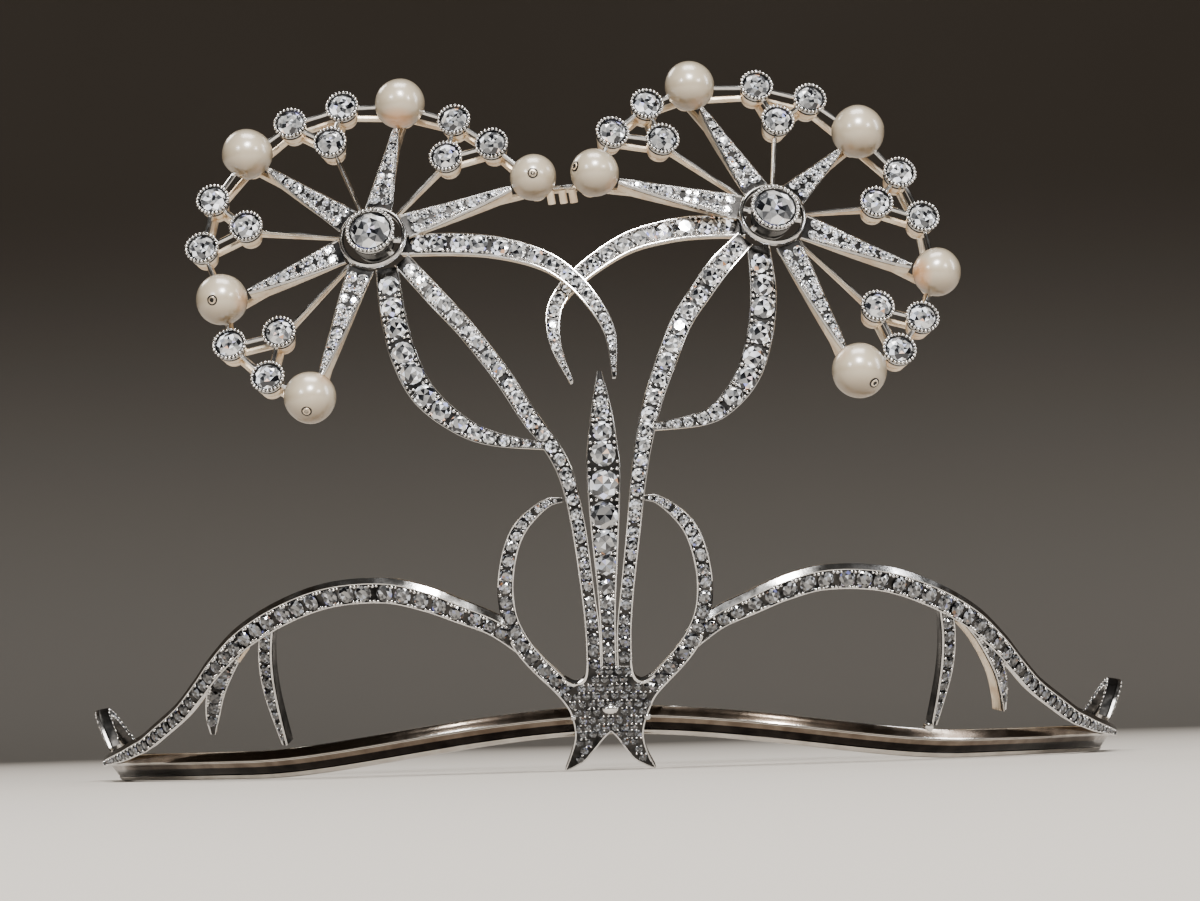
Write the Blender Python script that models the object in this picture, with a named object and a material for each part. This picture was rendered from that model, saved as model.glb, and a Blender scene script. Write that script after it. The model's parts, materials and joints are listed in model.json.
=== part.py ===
"""Diamond and pearl tiara, in metres, standing on its band with the front towards -Y.

The lower ornament follows a head form that leans outwards.
The stems and flowers rise on a flatter sheet in front of it.
Lengths in the tables are millimetres and angles are degrees.
"""
import math

import bmesh
import bpy
import numpy as np
from mathutils import Matrix, Vector

MM = 0.001

# Head form
FORM_RADIUS = 76.0
LEAN = math.tan(math.radians(20))
FRONT_LIFT = 4.6
LIFT_REACH = 55.0
CENTRE_BACK = 33.4

# Band
BAND_RADIUS = 73.0
BAND_HALF_LENGTH = 134.0
BAND_STATIONS = 66
BAND_SECTION = (  # (out from the band radius, height)
    (-1.4, 0.0),
    (0.0, 0.0),
    (0.9, 2.4),
    (0.2, 3.8),
    (-1.2, 3.8),
)

# Sheet of the stems and flowers
SHEET_FRONT = 81.7
SHEET_MIDDLE = 38.0
SHEET_CURVE = 95.0
SHEET_SIDE = 190.0

# Strips
STRIP_DEPTH = 1.8
STONE_PITCH = 2.2
ARCH_PITCH = 2.7
CROWN = 0.35

# Settings and stones
COLLET = {"outer": 2.25, "foot": 1.4, "depth": 3.9, "pocket": 1.85, "pocket_depth": 1.7, "stone": 1.7}
HUB = {"outer": 3.25, "foot": 1.8, "depth": 4.6, "pocket": 2.75, "pocket_depth": 2.4, "stone": 2.6}
POCKET_TAPER = 0.6
HUB_FRONT = 3.8
COLLET_FRONT = 0.4
STONE_SIDES = 8
CUP_SIDES = 10
RING = {"outer": 4.8, "inner": 3.9, "depth": 1.2, "sides": 16}
SPOKE_DEPTH = {"hub": 1.4, "tip": 3.0}
SPOKE_PITCH = 4.5
PEARL_SEAT = 0.25
PEARL_SIDES = 12
PEARL_RINGS = 7

# Every strip below: (across or x, height or z, width, out)
ARCH = (
    (10.9, 12.2, 2.0, -0.9),
    (12.3, 13.6, 2.2, -0.9),
    (14.4, 15.3, 2.3, -0.65),
    (17.9, 17.3, 2.5, -0.3),
    (22.0, 19.6, 2.7, 0.0),
    (27.0, 21.5, 2.8, 0.0),
    (34.0, 22.1, 2.8, 0.0),
    (41.0, 20.9, 2.8, 0.0),
    (48.0, 18.4, 2.7, 0.0),
    (54.0, 15.0, 2.4, 0.0),
    (58.5, 12.0, 2.2, 0.0),
    (64.5, 8.7, 2.1, 0.0),
    (74.0, 5.4, 2.0, 0.0),
)
TAIL = (
    (72.5, 5.8, 2.0, -0.1),
    (79.0, 4.4, 1.8, -0.1),
    (86.0, 3.4, 1.5, -0.1),
    (97.0, 2.5, 0.8, -0.1),
)
DROP = (
    (43.6, 20.4, 1.8, -0.3),
    (45.6, 16.0, 2.1, -0.3),
    (47.0, 11.0, 1.9, -1.0),
    (47.8, 4.2, 0.9, -2.2),
)
LEAFLET = (
    (47.4, 18.8, 1.2, -0.4),
    (50.6, 16.6, 1.8, -0.8),
    (55.0, 12.0, 1.7, -1.2),
    (58.8, 6.4, 0.7, -1.2),
)
END_SCROLL = (
    (107.0, 4.5, 1.0, -2.8),
    (110.5, 7.4, 1.8, -2.8),
    (116.0, 9.4, 2.2, -2.8),
    (122.0, 8.9, 2.2, -2.8),
    (127.0, 6.6, 1.8, -2.8),
    (130.5, 4.5, 1.0, -2.8),
)
INNER_LEAF = (
    (5.9, 35.1, 0.6, 0.0),
    (7.6, 34.7, 1.2, 0.0),
    (10.4, 32.3, 1.8, 0.0),
    (12.1, 29.2, 2.0, 0.0),
    (13.0, 24.6, 2.1, 0.0),
    (12.7, 20.4, 2.2, 0.0),
    (11.3, 16.9, 2.3, 0.0),
    (9.0, 13.9, 2.3, 0.0),
    (5.9, 10.7, 2.1, 0.0),
)
SPEAR = (
    (0.1, 52.0, 0.6, 0.3),
    (0.2, 47.0, 2.6, 0.3),
    (0.2, 42.0, 4.0, 0.3),
    (0.2, 38.6, 4.4, 0.3),
    (0.2, 33.0, 3.9, 0.3),
    (0.2, 28.0, 3.2, 0.3),
    (0.2, 22.0, 2.2, 0.3),
    (0.2, 17.0, 1.7, 0.3),
    (0.2, 11.0, 1.7, 0.3),
)
KNOT = (
    (0.2, 8.2, 5.6, 0.2),
    (0.2, 6.6, 7.4, 0.2),
    (0.2, 4.6, 9.2, 0.2),
    (0.2, 2.4, 9.4, 0.2),
    (0.2, 1.2, 8.6, 0.2),
)
KNOT_TIP = (
    (1.9, 5.6, 3.8, 0.4),
    (2.9, 1.6, 4.2, 0.4),
    (4.2, -1.4, 2.9, 0.4),
    (5.8, -4.4, 0.3, 0.4),
)
SPRAYS = {
    "left": {
        "centre": (-29.1, 70.3),
        "yaw": -6.5,
        "stem": (
            (-25.6, 67.9, 2.4, 1.4),
            (-21.0, 62.5, 2.6, 1.0),
            (-17.2, 58.1, 2.5, 0.4),
            (-12.6, 51.8, 2.4, 0.0),
            (-9.2, 46.2, 2.3, 0.0),
            (-6.4, 42.2, 2.1, 0.0),
            (-4.5, 38.0, 2.0, 0.0),
            (-3.2, 31.5, 1.9, 0.0),
            (-2.3, 23.5, 1.7, 0.0),
            (-1.8, 18.0, 1.6, 0.0),
            (-1.8, 13.2, 1.6, 0.0),
        ),
        "crescent": (
            (-25.6, 70.1, 2.8, 1.5),
            (-19.0, 69.9, 3.0, 2.0),
            (-13.3, 69.2, 2.9, 2.4),
            (-7.7, 67.5, 2.6, 2.6),
            (-4.0, 65.2, 2.3, 2.6),
            (-0.8, 61.6, 2.0, 2.6),
            (1.6, 57.0, 1.5, 2.2),
            (2.0, 51.0, 0.5, 1.6),
        ),
        "loop": (
            (-27.6, 66.9, 3.0, 1.5),
            (-26.8, 60.4, 3.4, 0.8),
            (-25.4, 54.6, 3.5, 0.2),
            (-22.8, 49.5, 3.3, 0.0),
            (-18.3, 45.5, 2.6, 0.0),
            (-13.9, 43.5, 1.9, 0.0),
            (-7.2, 42.3, 0.9, 0.0),
        ),
        "pearls": (  # (angle, radius, diameter)
            (141, 23.1, 6.9),
            (83, 21.4, 6.8),
            (23, 22.8, 6.2),
            (200, 21.5, 6.9),
            (251, 23.6, 6.9),
        ),
        "triads": (  # (first angle, radius, its pearl, second angle, radius, its pearl, inner angle, radius)
            (123, 22.5, 0, 104, 21.7, 1, 113, 17.0),
            (61, 20.8, 1, 43, 20.9, 2, 54, 15.6),
            (161, 23.5, 0, 179, 23.3, 3, 169, 17.8),
            (217, 23.5, 3, 235, 23.4, 4, 226, 17.6),
        ),
    },
    "right": {
        "centre": (23.3, 71.7),
        "yaw": 10.0,
        "stem": (
            (19.9, 69.3, 2.6, 1.8),
            (16.3, 65.6, 3.0, 1.4),
            (13.9, 62.4, 2.9, 0.8),
            (11.1, 58.3, 2.8, 0.2),
            (8.7, 52.6, 2.7, 0.0),
            (7.0, 47.9, 2.5, 0.0),
            (5.7, 43.0, 2.3, 0.0),
            (4.8, 38.0, 2.1, 0.0),
            (3.9, 31.0, 1.9, 0.0),
            (2.9, 23.5, 1.7, 0.0),
            (2.3, 18.0, 1.6, 0.0),
            (2.3, 13.2, 1.6, 0.0),
        ),
        "crescent": (
            (20.0, 71.1, 2.8, 1.5),
            (15.0, 71.4, 3.2, 0.8),
            (10.0, 71.0, 3.1, 0.2),
            (4.2, 69.4, 2.8, 0.0),
            (-1.5, 65.7, 2.4, 0.0),
            (-4.8, 62.2, 2.1, 0.0),
            (-5.8, 59.2, 1.9, 0.0),
            (-5.4, 55.3, 1.4, 0.0),
            (-3.6, 50.8, 0.5, 0.0),
        ),
        "loop": (
            (21.6, 68.4, 3.0, 1.6),
            (22.0, 62.4, 3.5, 0.8),
            (21.5, 57.1, 3.5, 0.2),
            (19.8, 51.5, 3.3, 0.0),
            (17.1, 47.7, 2.7, 0.0),
            (13.6, 45.4, 1.9, 0.0),
            (6.6, 44.4, 0.9, 0.0),
        ),
        "pearls": (
            (113, 22.5, 6.7),
            (45, 19.2, 7.2),
            (340, 23.1, 6.5),
            (293, 24.2, 7.3),
            (162, 24.1, 6.5),
        ),
        "triads": (
            (146, 24.1, 4, 130, 23.2, 0, 137, 18.2),
            (89, 20.6, 0, 68, 20.0, 1, 80, 15.5),
            (21, 19.8, 1, 1, 20.8, 2, 10, 15.0),
            (322, 23.9, 2, 308, 24.6, 3, 315, 18.4),
        ),
    },
}
FLOWER_LEAN = 21.0

MATERIALS = {  # (base colour, metallic, roughness)
    "polished silver": ((0.80, 0.78, 0.75), 1.0, 0.12),
    "silver on gold": ((0.78, 0.76, 0.73), 1.0, 0.25),
    "diamond": ((0.95, 0.97, 1.0), 0.0, 0.02),
    "pearl": ((0.90, 0.86, 0.78), 0.0, 0.22),
}


def clear_scene():
    for old in list(bpy.data.objects):
        bpy.data.objects.remove(old, do_unlink=True)


def new_collection(name, parent, hidden=False):
    made = bpy.data.collections.new(name)
    parent.children.link(made)
    made.hide_render = hidden
    return made


def new_material(name):
    colour, metallic, roughness = MATERIALS[name]
    made = bpy.data.materials.new(name)
    made.use_nodes = True
    shader = made.node_tree.nodes["Principled BSDF"]
    shader.inputs["Base Color"].default_value = (*colour, 1)
    shader.inputs["Metallic"].default_value = metallic
    shader.inputs["Roughness"].default_value = roughness
    made.diffuse_color = (*colour, 1)
    return made


# Head form and sheet


def band_foot(across):
    """Height of the band's lower edge over the table, at an arc length from the middle."""
    t = min(abs(across) / LIFT_REACH, 1.0)
    return FRONT_LIFT * (1 - t * t * (3 - 2 * t))


def on_form(across, height, out):
    angle = across / FORM_RADIUS
    radius = FORM_RADIUS + LEAN * height + out
    x = radius * math.sin(angle)
    y = -radius * math.cos(angle)
    return Vector((x, y, band_foot(across) + height))


def on_sheet(x, z, out):
    rise = (z - SHEET_MIDDLE) / SHEET_CURVE
    back = SHEET_CURVE * (1 - math.sqrt(1 - rise * rise)) + x * x / (2 * SHEET_SIDE)
    return Vector((x, back - SHEET_FRONT - out, z))


def outward(place, a, b, out):
    """The unit normal of a surface at a place on it."""
    step = 0.05
    across = place(a + step, b, out) - place(a - step, b, out)
    up = place(a, b + step, out) - place(a, b - step, out)
    return across.cross(up).normalized()


def mirrored(rows):
    return tuple((-row[0],) + tuple(row[1:]) for row in rows)


# Meshes


def new_object(name, points, faces, collection, material):
    """A closed mesh from points in millimetres, with its faces turned outwards."""
    mesh = bpy.data.meshes.new(name)
    moved = [(p[0] * MM, (p[1] + CENTRE_BACK) * MM, p[2] * MM) for p in points]
    mesh.from_pydata(moved, [], faces)
    work = bmesh.new()
    work.from_mesh(mesh)
    bmesh.ops.recalc_face_normals(work, faces=work.faces)
    work.to_mesh(mesh)
    work.free()
    mesh.materials.append(material)
    made = bpy.data.objects.new(name, mesh)
    collection.objects.link(made)
    return made


def stations(rows, place, spacing):
    """Evenly spaced (point, along, side, normal, width) on the smooth line through the rows."""
    table = np.array(rows, float)
    last = len(table) - 1
    fine = []
    for i in range(last):
        before, a = table[max(i - 1, 0)], table[i]
        b, after = table[i + 1], table[min(i + 2, last)]
        for t in np.arange(12) / 12:
            curve = 2 * a + (b - before) * t + (2 * before - 5 * a + 4 * b - after) * t**2
            fine.append((curve + (3 * a - before - 3 * b + after) * t**3) / 2)
    fine.append(table[last])
    fine = np.array(fine)
    points = np.array([place(row[0], row[1], row[3]) for row in fine])
    length = np.concatenate([[0], np.cumsum(np.linalg.norm(np.diff(points, axis=0), axis=1))])
    count = max(2, round(length[-1] / spacing)) + 1
    even = np.linspace(0, length[-1], count)
    rows = np.column_stack([np.interp(even, length, fine[:, k]) for k in range(4)])
    points = [place(row[0], row[1], row[3]) for row in rows]
    made = []
    for i, row in enumerate(rows):
        along = (points[min(i + 1, count - 1)] - points[max(i - 1, 0)]).normalized()
        normal = outward(place, row[0], row[1], row[3])
        side = along.cross(normal).normalized()
        normal = side.cross(along).normalized()
        made.append((points[i], along, side, normal, row[2]))
    return made


def plain_strip(rows, place, spacing=2.8, depth=STRIP_DEPTH, ridge=0.3, end_depth=None):
    """A tapered strip with a low ridge along its front. Its depth may change evenly to end_depth."""
    points, faces = [], []
    line = stations(rows, place, spacing)
    depths = np.linspace(depth, end_depth or depth, len(line))
    for (point, _, side, normal, width), depth in zip(line, depths):
        half = side * (width / 2)
        points.append(point - half)
        points.append(point + normal * min(ridge, width / 4))
        points.append(point + half)
        points.append(point + half * 0.72 - normal * depth)
        points.append(point - half * 0.72 - normal * depth)
    for i in range(len(line) - 1):
        for k in range(5):
            m = (k + 1) % 5
            faces.append((5 * i + k, 5 * i + m, 5 * i + 5 + m, 5 * i + 5 + k))
    faces.append(tuple(range(5)))
    faces.append(tuple(range(5 * len(line) - 5, 5 * len(line))))
    return points, faces


def stone_on_cell(points, faces, corners, normal):
    """A stone with a table and eight sides in a four-cornered cell of a strip's front."""
    cell = [points[k] for k in corners]
    middle = (cell[0] + cell[1] + cell[2] + cell[3]) / 4
    across = (cell[1] + cell[2] - cell[0] - cell[3]) / 4
    along = (cell[2] + cell[3] - cell[0] - cell[1]) / 4
    radius = min(across.length, along.length) * 0.86
    if radius < 0.45:
        faces.append(tuple(corners))
        return
    across, along = across.normalized() * radius, along.normalized() * radius
    girdle = len(points)
    for k in range(8):
        turn = math.radians(45 * k - 112.5)
        points.append(middle + across * math.cos(turn) + along * math.sin(turn))
    table = len(points)
    for k in range(8):
        turn = math.radians(45 * k - 112.5)
        spot = across * math.cos(turn) * 0.55 + along * math.sin(turn) * 0.55
        points.append(middle + spot + normal * CROWN)
    for k in range(4):
        a, b = corners[k], corners[(k + 1) % 4]
        g = girdle + 2 * k
        faces.append((a, b, g + 1, g))
        faces.append((b, girdle + (2 * k + 2) % 8, g + 1))
    for k in range(8):
        m = (k + 1) % 8
        faces.append((girdle + k, girdle + m, table + m, table + k))
    faces.append(tuple(table + k for k in range(8)))


def stone_strip(rows, place, spacing=STONE_PITCH, depth=STRIP_DEPTH):
    """A tapered strip with a row of stones along its front, one to a cell."""
    points, faces = [], []
    line = stations(rows, place, spacing)
    for point, _, side, normal, width in line:
        half = side * (width / 2)
        points.append(point - half)
        points.append(point + half)
        points.append(point + half * 0.72 - normal * depth)
        points.append(point - half * 0.72 - normal * depth)
    for i in range(len(line) - 1):
        a, b = 4 * i, 4 * i + 4
        stone_on_cell(points, faces, (a, a + 1, b + 1, b), line[i][3])
        for k in (1, 2, 3):
            m = (k + 1) % 4
            faces.append((a + k, a + m, b + m, b + k))
    end = 4 * len(line)
    faces.append((0, 1, 2, 3))
    faces.append((end - 4, end - 3, end - 2, end - 1))
    return points, faces


def taken(work):
    """The points and faces of a bmesh, which is then freed."""
    work.verts.index_update()
    points = [vert.co.copy() for vert in work.verts]
    faces = [tuple(vert.index for vert in face.verts) for face in work.faces]
    work.free()
    return points, faces


def bar(start, end, front, width, depth):
    """A straight square bar between two points, its broad side towards the front."""
    along = (end - start).normalized()
    side = along.cross(front).normalized()
    top = side.cross(along).normalized()
    turn = Matrix((side, along, top)).transposed().to_4x4()
    size = Matrix.Diagonal((width, (end - start).length, depth, 1))
    work = bmesh.new()
    bmesh.ops.create_cube(work, size=1, matrix=Matrix.Translation((start + end) / 2) @ turn @ size)
    return taken(work)


def turned(profile, sides, frame, closed=False):
    """A profile of (radius, height) spun about a frame's third axis. A radius of 0 ends on the axis."""
    work = bmesh.new()
    line = [work.verts.new((radius, 0, height)) for radius, height in profile]
    follows = line[1:] + line[:1] if closed else line[1:]
    edges = [work.edges.new(pair) for pair in zip(line, follows)]
    about = {"cent": (0, 0, 0), "axis": (0, 0, 1), "angle": 2 * math.pi, "steps": sides}
    bmesh.ops.spin(work, geom=line + edges, use_merge=True, **about)
    bmesh.ops.remove_doubles(work, verts=work.verts, dist=MM)
    bmesh.ops.transform(work, matrix=frame, verts=work.verts)
    return taken(work)


def cup(frame, size, front):
    """A collet: a cup that tapers to its foot, with a tapered round pocket for its stone."""
    profile = (
        (0, front - size["depth"]),
        (size["foot"], front - size["depth"]),
        (size["outer"], front),
        (size["pocket"], front),
        (size["pocket"] * POCKET_TAPER, front - size["pocket_depth"]),
        (0, front - size["pocket_depth"]),
    )
    return turned(profile, CUP_SIDES, frame)


def brilliant(frame, radius, height):
    """A round stone: table, eight star and eight kite facets above the girdle, eight facets below."""
    points, faces = [], []
    for r, level, offset in ((radius * 0.58, height + radius * 0.3, 0.5), (radius, height, 0.0)):
        for k in range(STONE_SIDES):
            turn = 2 * math.pi * (k + offset) / STONE_SIDES
            points.append(frame @ Vector((math.cos(turn) * r, math.sin(turn) * r, level)))
    points.append(frame @ Vector((0, 0, height - radius * 0.8)))
    faces.append(tuple(range(STONE_SIDES)))
    for k in range(STONE_SIDES):
        m = (k + 1) % STONE_SIDES
        n = STONE_SIDES
        faces.append((k, n + k, n + m))
        faces.append((k, n + m, m))
        faces.append((n + k, 2 * n, n + m))
    return points, faces


def fuse(name, pieces, collections, material):
    """One solid from pieces that overlap, as soldered metal."""
    main, helpers = collections
    group = new_collection(name + "_pieces", helpers, hidden=True)
    base = new_object(name, *pieces[0], main, material)
    for k, piece in enumerate(pieces[1:]):
        helper = new_object(f"{name}_piece_{k}", *piece, group, material)
        helper.hide_render = True
        helper.display_type = "WIRE"
    join = base.modifiers.new("soldered", "BOOLEAN")
    join.operation = "UNION"
    join.solver = "EXACT"
    join.operand_type = "COLLECTION"
    join.collection = group
    return base


# Flowers


def flower_frame(spray):
    """The frame of a flower: its middle on the sheet, its third axis along the way that it faces."""
    x, z = spray["centre"]
    lean, yaw = math.radians(FLOWER_LEAN), math.radians(spray["yaw"])
    face = Vector((math.sin(yaw) * math.cos(lean), -math.cos(yaw) * math.cos(lean), math.sin(lean)))
    right = Vector((math.cos(yaw), math.sin(yaw), 0))
    up = face.cross(right)
    turn = Matrix((right, up, face)).transposed().to_4x4()
    return Matrix.Translation(on_sheet(x, z, 2.0)) @ turn


def on_flower(frame, angle, radius, lift):
    turn = math.radians(angle)
    return frame @ Vector((radius * math.cos(turn), radius * math.sin(turn), lift))


def frame_at(frame, angle, radius):
    return Matrix.Translation(on_flower(frame, angle, radius, 0)) @ frame.to_3x3().to_4x4()


def triad_spots(row):
    """The (angle, radius) of a triad's first, second and inner collets."""
    return [(row[0], row[1]), (row[3], row[4]), (row[6], row[7])]


def pearl_seat(spray, frame, number):
    """The middle of the small cup behind a pearl."""
    angle, radius, diameter = spray["pearls"][number]
    return on_flower(frame, angle, radius, -diameter / 2 - PEARL_SEAT - 0.5)


def along_spoke(frame, angle):
    """Places on a flower by the distance across a spoke, clockwise from its middle, and along it."""

    def place(across, radius, out):
        return on_flower(frame, angle - math.degrees(across / max(radius, 1)), radius, out)

    return place


def flower_pieces(spray, frame):
    """Ring, hub, spokes, wires, collets and pearl cups of one flower."""
    front = frame.to_3x3() @ Vector((0, 0, 1))
    pieces = []
    back = -RING["depth"]
    ring = ((RING["inner"], back), (RING["outer"], back), (RING["outer"], 0), (RING["inner"], 0))
    pieces.append(turned(ring, RING["sides"], frame, closed=True))
    for angle in (60, 150):
        ends = [on_flower(frame, angle + turn, 4.3, -0.75) for turn in (0, 180)]
        pieces.append(bar(*ends, front, 0.9, 0.7))
    pieces.append(cup(frame, HUB, HUB_FRONT))
    for angle, radius, diameter in spray["pearls"]:
        tip = radius - diameter / 2 - 0.4
        rows = ((0, 4.3, 3.6, -0.1), (0, 9.0, 3.0, -0.1), (0, 14.0, 2.1, -0.1), (0, tip, 1.1, -0.1))
        spoke = along_spoke(frame, angle)
        pieces.append(plain_strip(rows, spoke, SPOKE_PITCH, SPOKE_DEPTH["hub"], 0.3, SPOKE_DEPTH["tip"]))
        back = -diameter / 2 - PEARL_SEAT
        seat = ((0, back - 0.9), (1.3, back - 0.9), (1.5, back), (0, back))
        pieces.append(turned(seat, 8, frame_at(frame, angle, radius)))
        start = on_flower(frame, angle, tip - 2.2, -2.2)
        end = on_flower(frame, angle, radius - 1.0, back - 0.45)
        pieces.append(bar(start, end, front, 1.1, 0.8))
    for row in spray["triads"]:
        spots = triad_spots(row)
        low = COLLET_FRONT - COLLET["depth"] + 0.5
        centres = [on_flower(frame, *spot, low) for spot in spots]
        for spot in spots:
            pieces.append(cup(frame_at(frame, *spot), COLLET, COLLET_FRONT))
        for a, b in ((0, 2), (1, 2), (0, 1)):
            pieces.append(bar(centres[a], centres[b], front, 0.9, 0.9))
        inner = spots[2]
        start = on_flower(frame, inner[0], 4.4, -0.6)
        end = on_flower(frame, inner[0], inner[1] - 1.6, -1.2)
        pieces.append(bar(start, end, front, 0.7, 1.1))
        for centre, pearl in zip(centres, (row[2], row[5])):
            pieces.append(bar(centre, pearl_seat(spray, frame, pearl), front, 0.9, 0.8))
    return pieces


def add_flower_stones(side, spray, frame, main, materials):
    diamond, pearl = materials["diamond"], materials["pearl"]
    new_object(f"{side}_hub_stone", *brilliant(frame, HUB["stone"], HUB_FRONT - 0.1), main, diamond)
    count = 0
    for row in spray["triads"]:
        for spot in triad_spots(row):
            count += 1
            stone = brilliant(frame_at(frame, *spot), COLLET["stone"], COLLET_FRONT - 0.1)
            new_object(f"{side}_collet_stone_{count}", *stone, main, diamond)
    for k, (angle, radius, diameter) in enumerate(spray["pearls"]):
        work = bmesh.new()
        size = {"u_segments": PEARL_SIDES, "v_segments": PEARL_RINGS, "radius": diameter / 2}
        bmesh.ops.create_uvsphere(work, matrix=frame_at(frame, angle, radius), **size)
        new_object(f"{side}_pearl_{k + 1}", *taken(work), main, pearl)


# Assemblies


def add_band(main, material):
    points, faces = [], []
    count, sides = BAND_STATIONS + 1, len(BAND_SECTION)
    for k in range(count):
        across = BAND_HALF_LENGTH * (2 * k / BAND_STATIONS - 1)
        angle = across / BAND_RADIUS
        foot = band_foot(across * FORM_RADIUS / BAND_RADIUS)
        for out, height in BAND_SECTION:
            radius = BAND_RADIUS + LEAN * height + out
            points.append(Vector((radius * math.sin(angle), -radius * math.cos(angle), foot + height)))
    for i in range(count - 1):
        for k in range(sides):
            m = (k + 1) % sides
            faces.append((sides * i + k, sides * i + m, sides * i + sides + m, sides * i + sides + k))
    faces.append(tuple(range(sides)))
    faces.append(tuple(range(sides * (count - 1), sides * count)))
    new_object("head_band", points, faces, main, material)


def add_centre(collections, material):
    pieces = [
        stone_strip(SPEAR, on_sheet, spacing=3.1),
        plain_strip(KNOT, on_form, spacing=1.8),
        plain_strip(KNOT_TIP, on_form, spacing=2.0),
        plain_strip(mirrored(KNOT_TIP), on_form, spacing=2.0),
    ]
    front = outward(on_form, 0.2, 4.5, 0)
    up = Vector((0, 0, 1))
    side = up.cross(front).normalized()
    turn = Matrix((side, front.cross(side), front)).transposed().to_4x4()
    for x, height, radius, lift in ((0.2, 4.6, 0.8, 0.7), (5.0, 3.2, 0.7, 0.4), (-4.6, 3.2, 0.7, 0.4)):
        frame = Matrix.Translation(on_form(x, height, 0)) @ turn
        head = ((0, -1.2), (radius, -1.2), (radius, lift * 0.4), (0, lift))
        pieces.append(turned(head, 10, frame))
    fuse("spear_and_knot", pieces, collections, material)


def add_scroll(side, sign, collections, material):
    turn = mirrored if sign < 0 else tuple
    pieces = [
        stone_strip(turn(ARCH), on_form, spacing=ARCH_PITCH),
        plain_strip(turn(TAIL), on_form, spacing=3.0, ridge=0.2),
        plain_strip(turn(INNER_LEAF), on_sheet),
        plain_strip(turn(DROP), on_form),
        plain_strip(turn(LEAFLET), on_form),
    ]
    fuse(side + "_scroll", pieces, collections, material)


def link_between_flowers():
    """A bar from the left flower's third pearl cup to just short of the right flower's fifth."""
    ends = []
    for side, number in (("left", 2), ("right", 4)):
        ends.append(pearl_seat(SPRAYS[side], flower_frame(SPRAYS[side]), number))
    short = (ends[0] - ends[1]).normalized() * 2.0
    return bar(ends[0], ends[1] + short, Vector((0, -1, 0)), 0.9, 0.8)


def add_spray(side, spray, collections, materials):
    frame = flower_frame(spray)
    pieces = [
        stone_strip(spray["stem"], on_sheet),
        plain_strip(spray["crescent"], on_sheet),
        plain_strip(spray["loop"], on_sheet),
    ]
    pieces += flower_pieces(spray, frame)
    if side == "left":
        pieces.append(link_between_flowers())
    fuse(side + "_spray", pieces, collections, materials["silver on gold"])
    add_flower_stones(side, spray, frame, collections[0], materials)


def main():
    clear_scene()
    root = bpy.context.scene.collection
    tiara = new_collection("diamond_and_pearl_tiara", root)
    helpers = new_collection("helpers", root, hidden=True)
    collections = (tiara, helpers)
    materials = {name: new_material(name) for name in MATERIALS}
    silver = materials["silver on gold"]
    add_band(tiara, materials["polished silver"])
    add_centre(collections, silver)
    for side, sign in (("left", -1), ("right", 1)):
        add_scroll(side, sign, collections, silver)
        add_spray(side, SPRAYS[side], collections, materials)
        rows = mirrored(END_SCROLL) if sign < 0 else END_SCROLL
        new_object(side + "_end_scroll", *plain_strip(rows, on_form), tiara, silver)


main()
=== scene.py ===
import json
from math import atan, cos, degrees, pi, radians, sin, sqrt, tan

import bmesh
import bpy
import numpy as np
from mathutils import Matrix, Vector, noise

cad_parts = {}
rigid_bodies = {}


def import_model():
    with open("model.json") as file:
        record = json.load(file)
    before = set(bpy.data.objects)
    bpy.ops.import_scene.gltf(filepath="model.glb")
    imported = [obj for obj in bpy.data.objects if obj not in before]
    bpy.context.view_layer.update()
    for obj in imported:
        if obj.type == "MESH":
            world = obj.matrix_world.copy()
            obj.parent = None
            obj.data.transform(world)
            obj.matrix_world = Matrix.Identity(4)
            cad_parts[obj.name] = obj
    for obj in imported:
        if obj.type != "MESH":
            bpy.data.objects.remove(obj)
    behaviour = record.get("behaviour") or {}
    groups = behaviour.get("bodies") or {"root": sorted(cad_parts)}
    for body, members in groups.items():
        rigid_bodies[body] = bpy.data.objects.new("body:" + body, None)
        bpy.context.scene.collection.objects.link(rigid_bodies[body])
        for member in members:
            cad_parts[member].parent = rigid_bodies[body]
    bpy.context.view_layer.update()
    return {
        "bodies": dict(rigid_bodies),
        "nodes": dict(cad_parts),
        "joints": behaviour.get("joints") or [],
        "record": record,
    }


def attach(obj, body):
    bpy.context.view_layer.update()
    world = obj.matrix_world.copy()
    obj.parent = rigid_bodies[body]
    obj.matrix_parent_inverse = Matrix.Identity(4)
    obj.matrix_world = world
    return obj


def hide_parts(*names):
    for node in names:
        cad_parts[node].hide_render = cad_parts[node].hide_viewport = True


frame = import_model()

MM = 0.001
BODY = "root"

# Head form and sheet, as the solids have them
FORM_RADIUS = 76.0
LEAN = tan(radians(20))
FRONT_LIFT = 4.6
LIFT_REACH = 55.0
CENTRE_BACK = 33.4
SHEET_FRONT = 81.7
SHEET_MIDDLE = 38.0
SHEET_CURVE = 95.0
SHEET_SIDE = 190.0
FLOWER_LEAN = 21.0

# Band
BAND_RADIUS = 73.0
BAND_HALF_LENGTH = 134.0
BAND_STATIONS = 264
# The black and brown faces of the band are painted dark reflections on its polished silver
BAND_SECTION = (  # (out from the band radius, height, finish of the face above)
    (-1.32, 0.0, "polished"),
    (-0.1, 0.0, "polished"),
    (0.12, 0.12, "polished"),
    (0.22, 0.34, "polished"),
    (0.2, 0.55, "black"),
    (0.1, 0.66, "black"),
    (0.24, 0.85, "black"),
    (0.5, 1.6, "brown"),
    (0.74, 2.14, "brown"),
    (0.8, 2.2, "polished"),
    (0.88, 2.3, "black"),
    (0.87, 2.36, "polished"),
    (0.9, 2.46, "polished"),
    (0.82, 2.6, "brown"),
    (0.56, 3.05, "brown"),
    (0.28, 3.66, "polished"),
    (0.16, 3.78, "polished"),
    (0.02, 3.8, "polished"),
    (-1.08, 3.8, "polished"),
    (-1.18, 3.72, "brown"),
    (-1.3, 1.9, "brown"),
    (-1.4, 0.1, "polished"),
)

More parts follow.
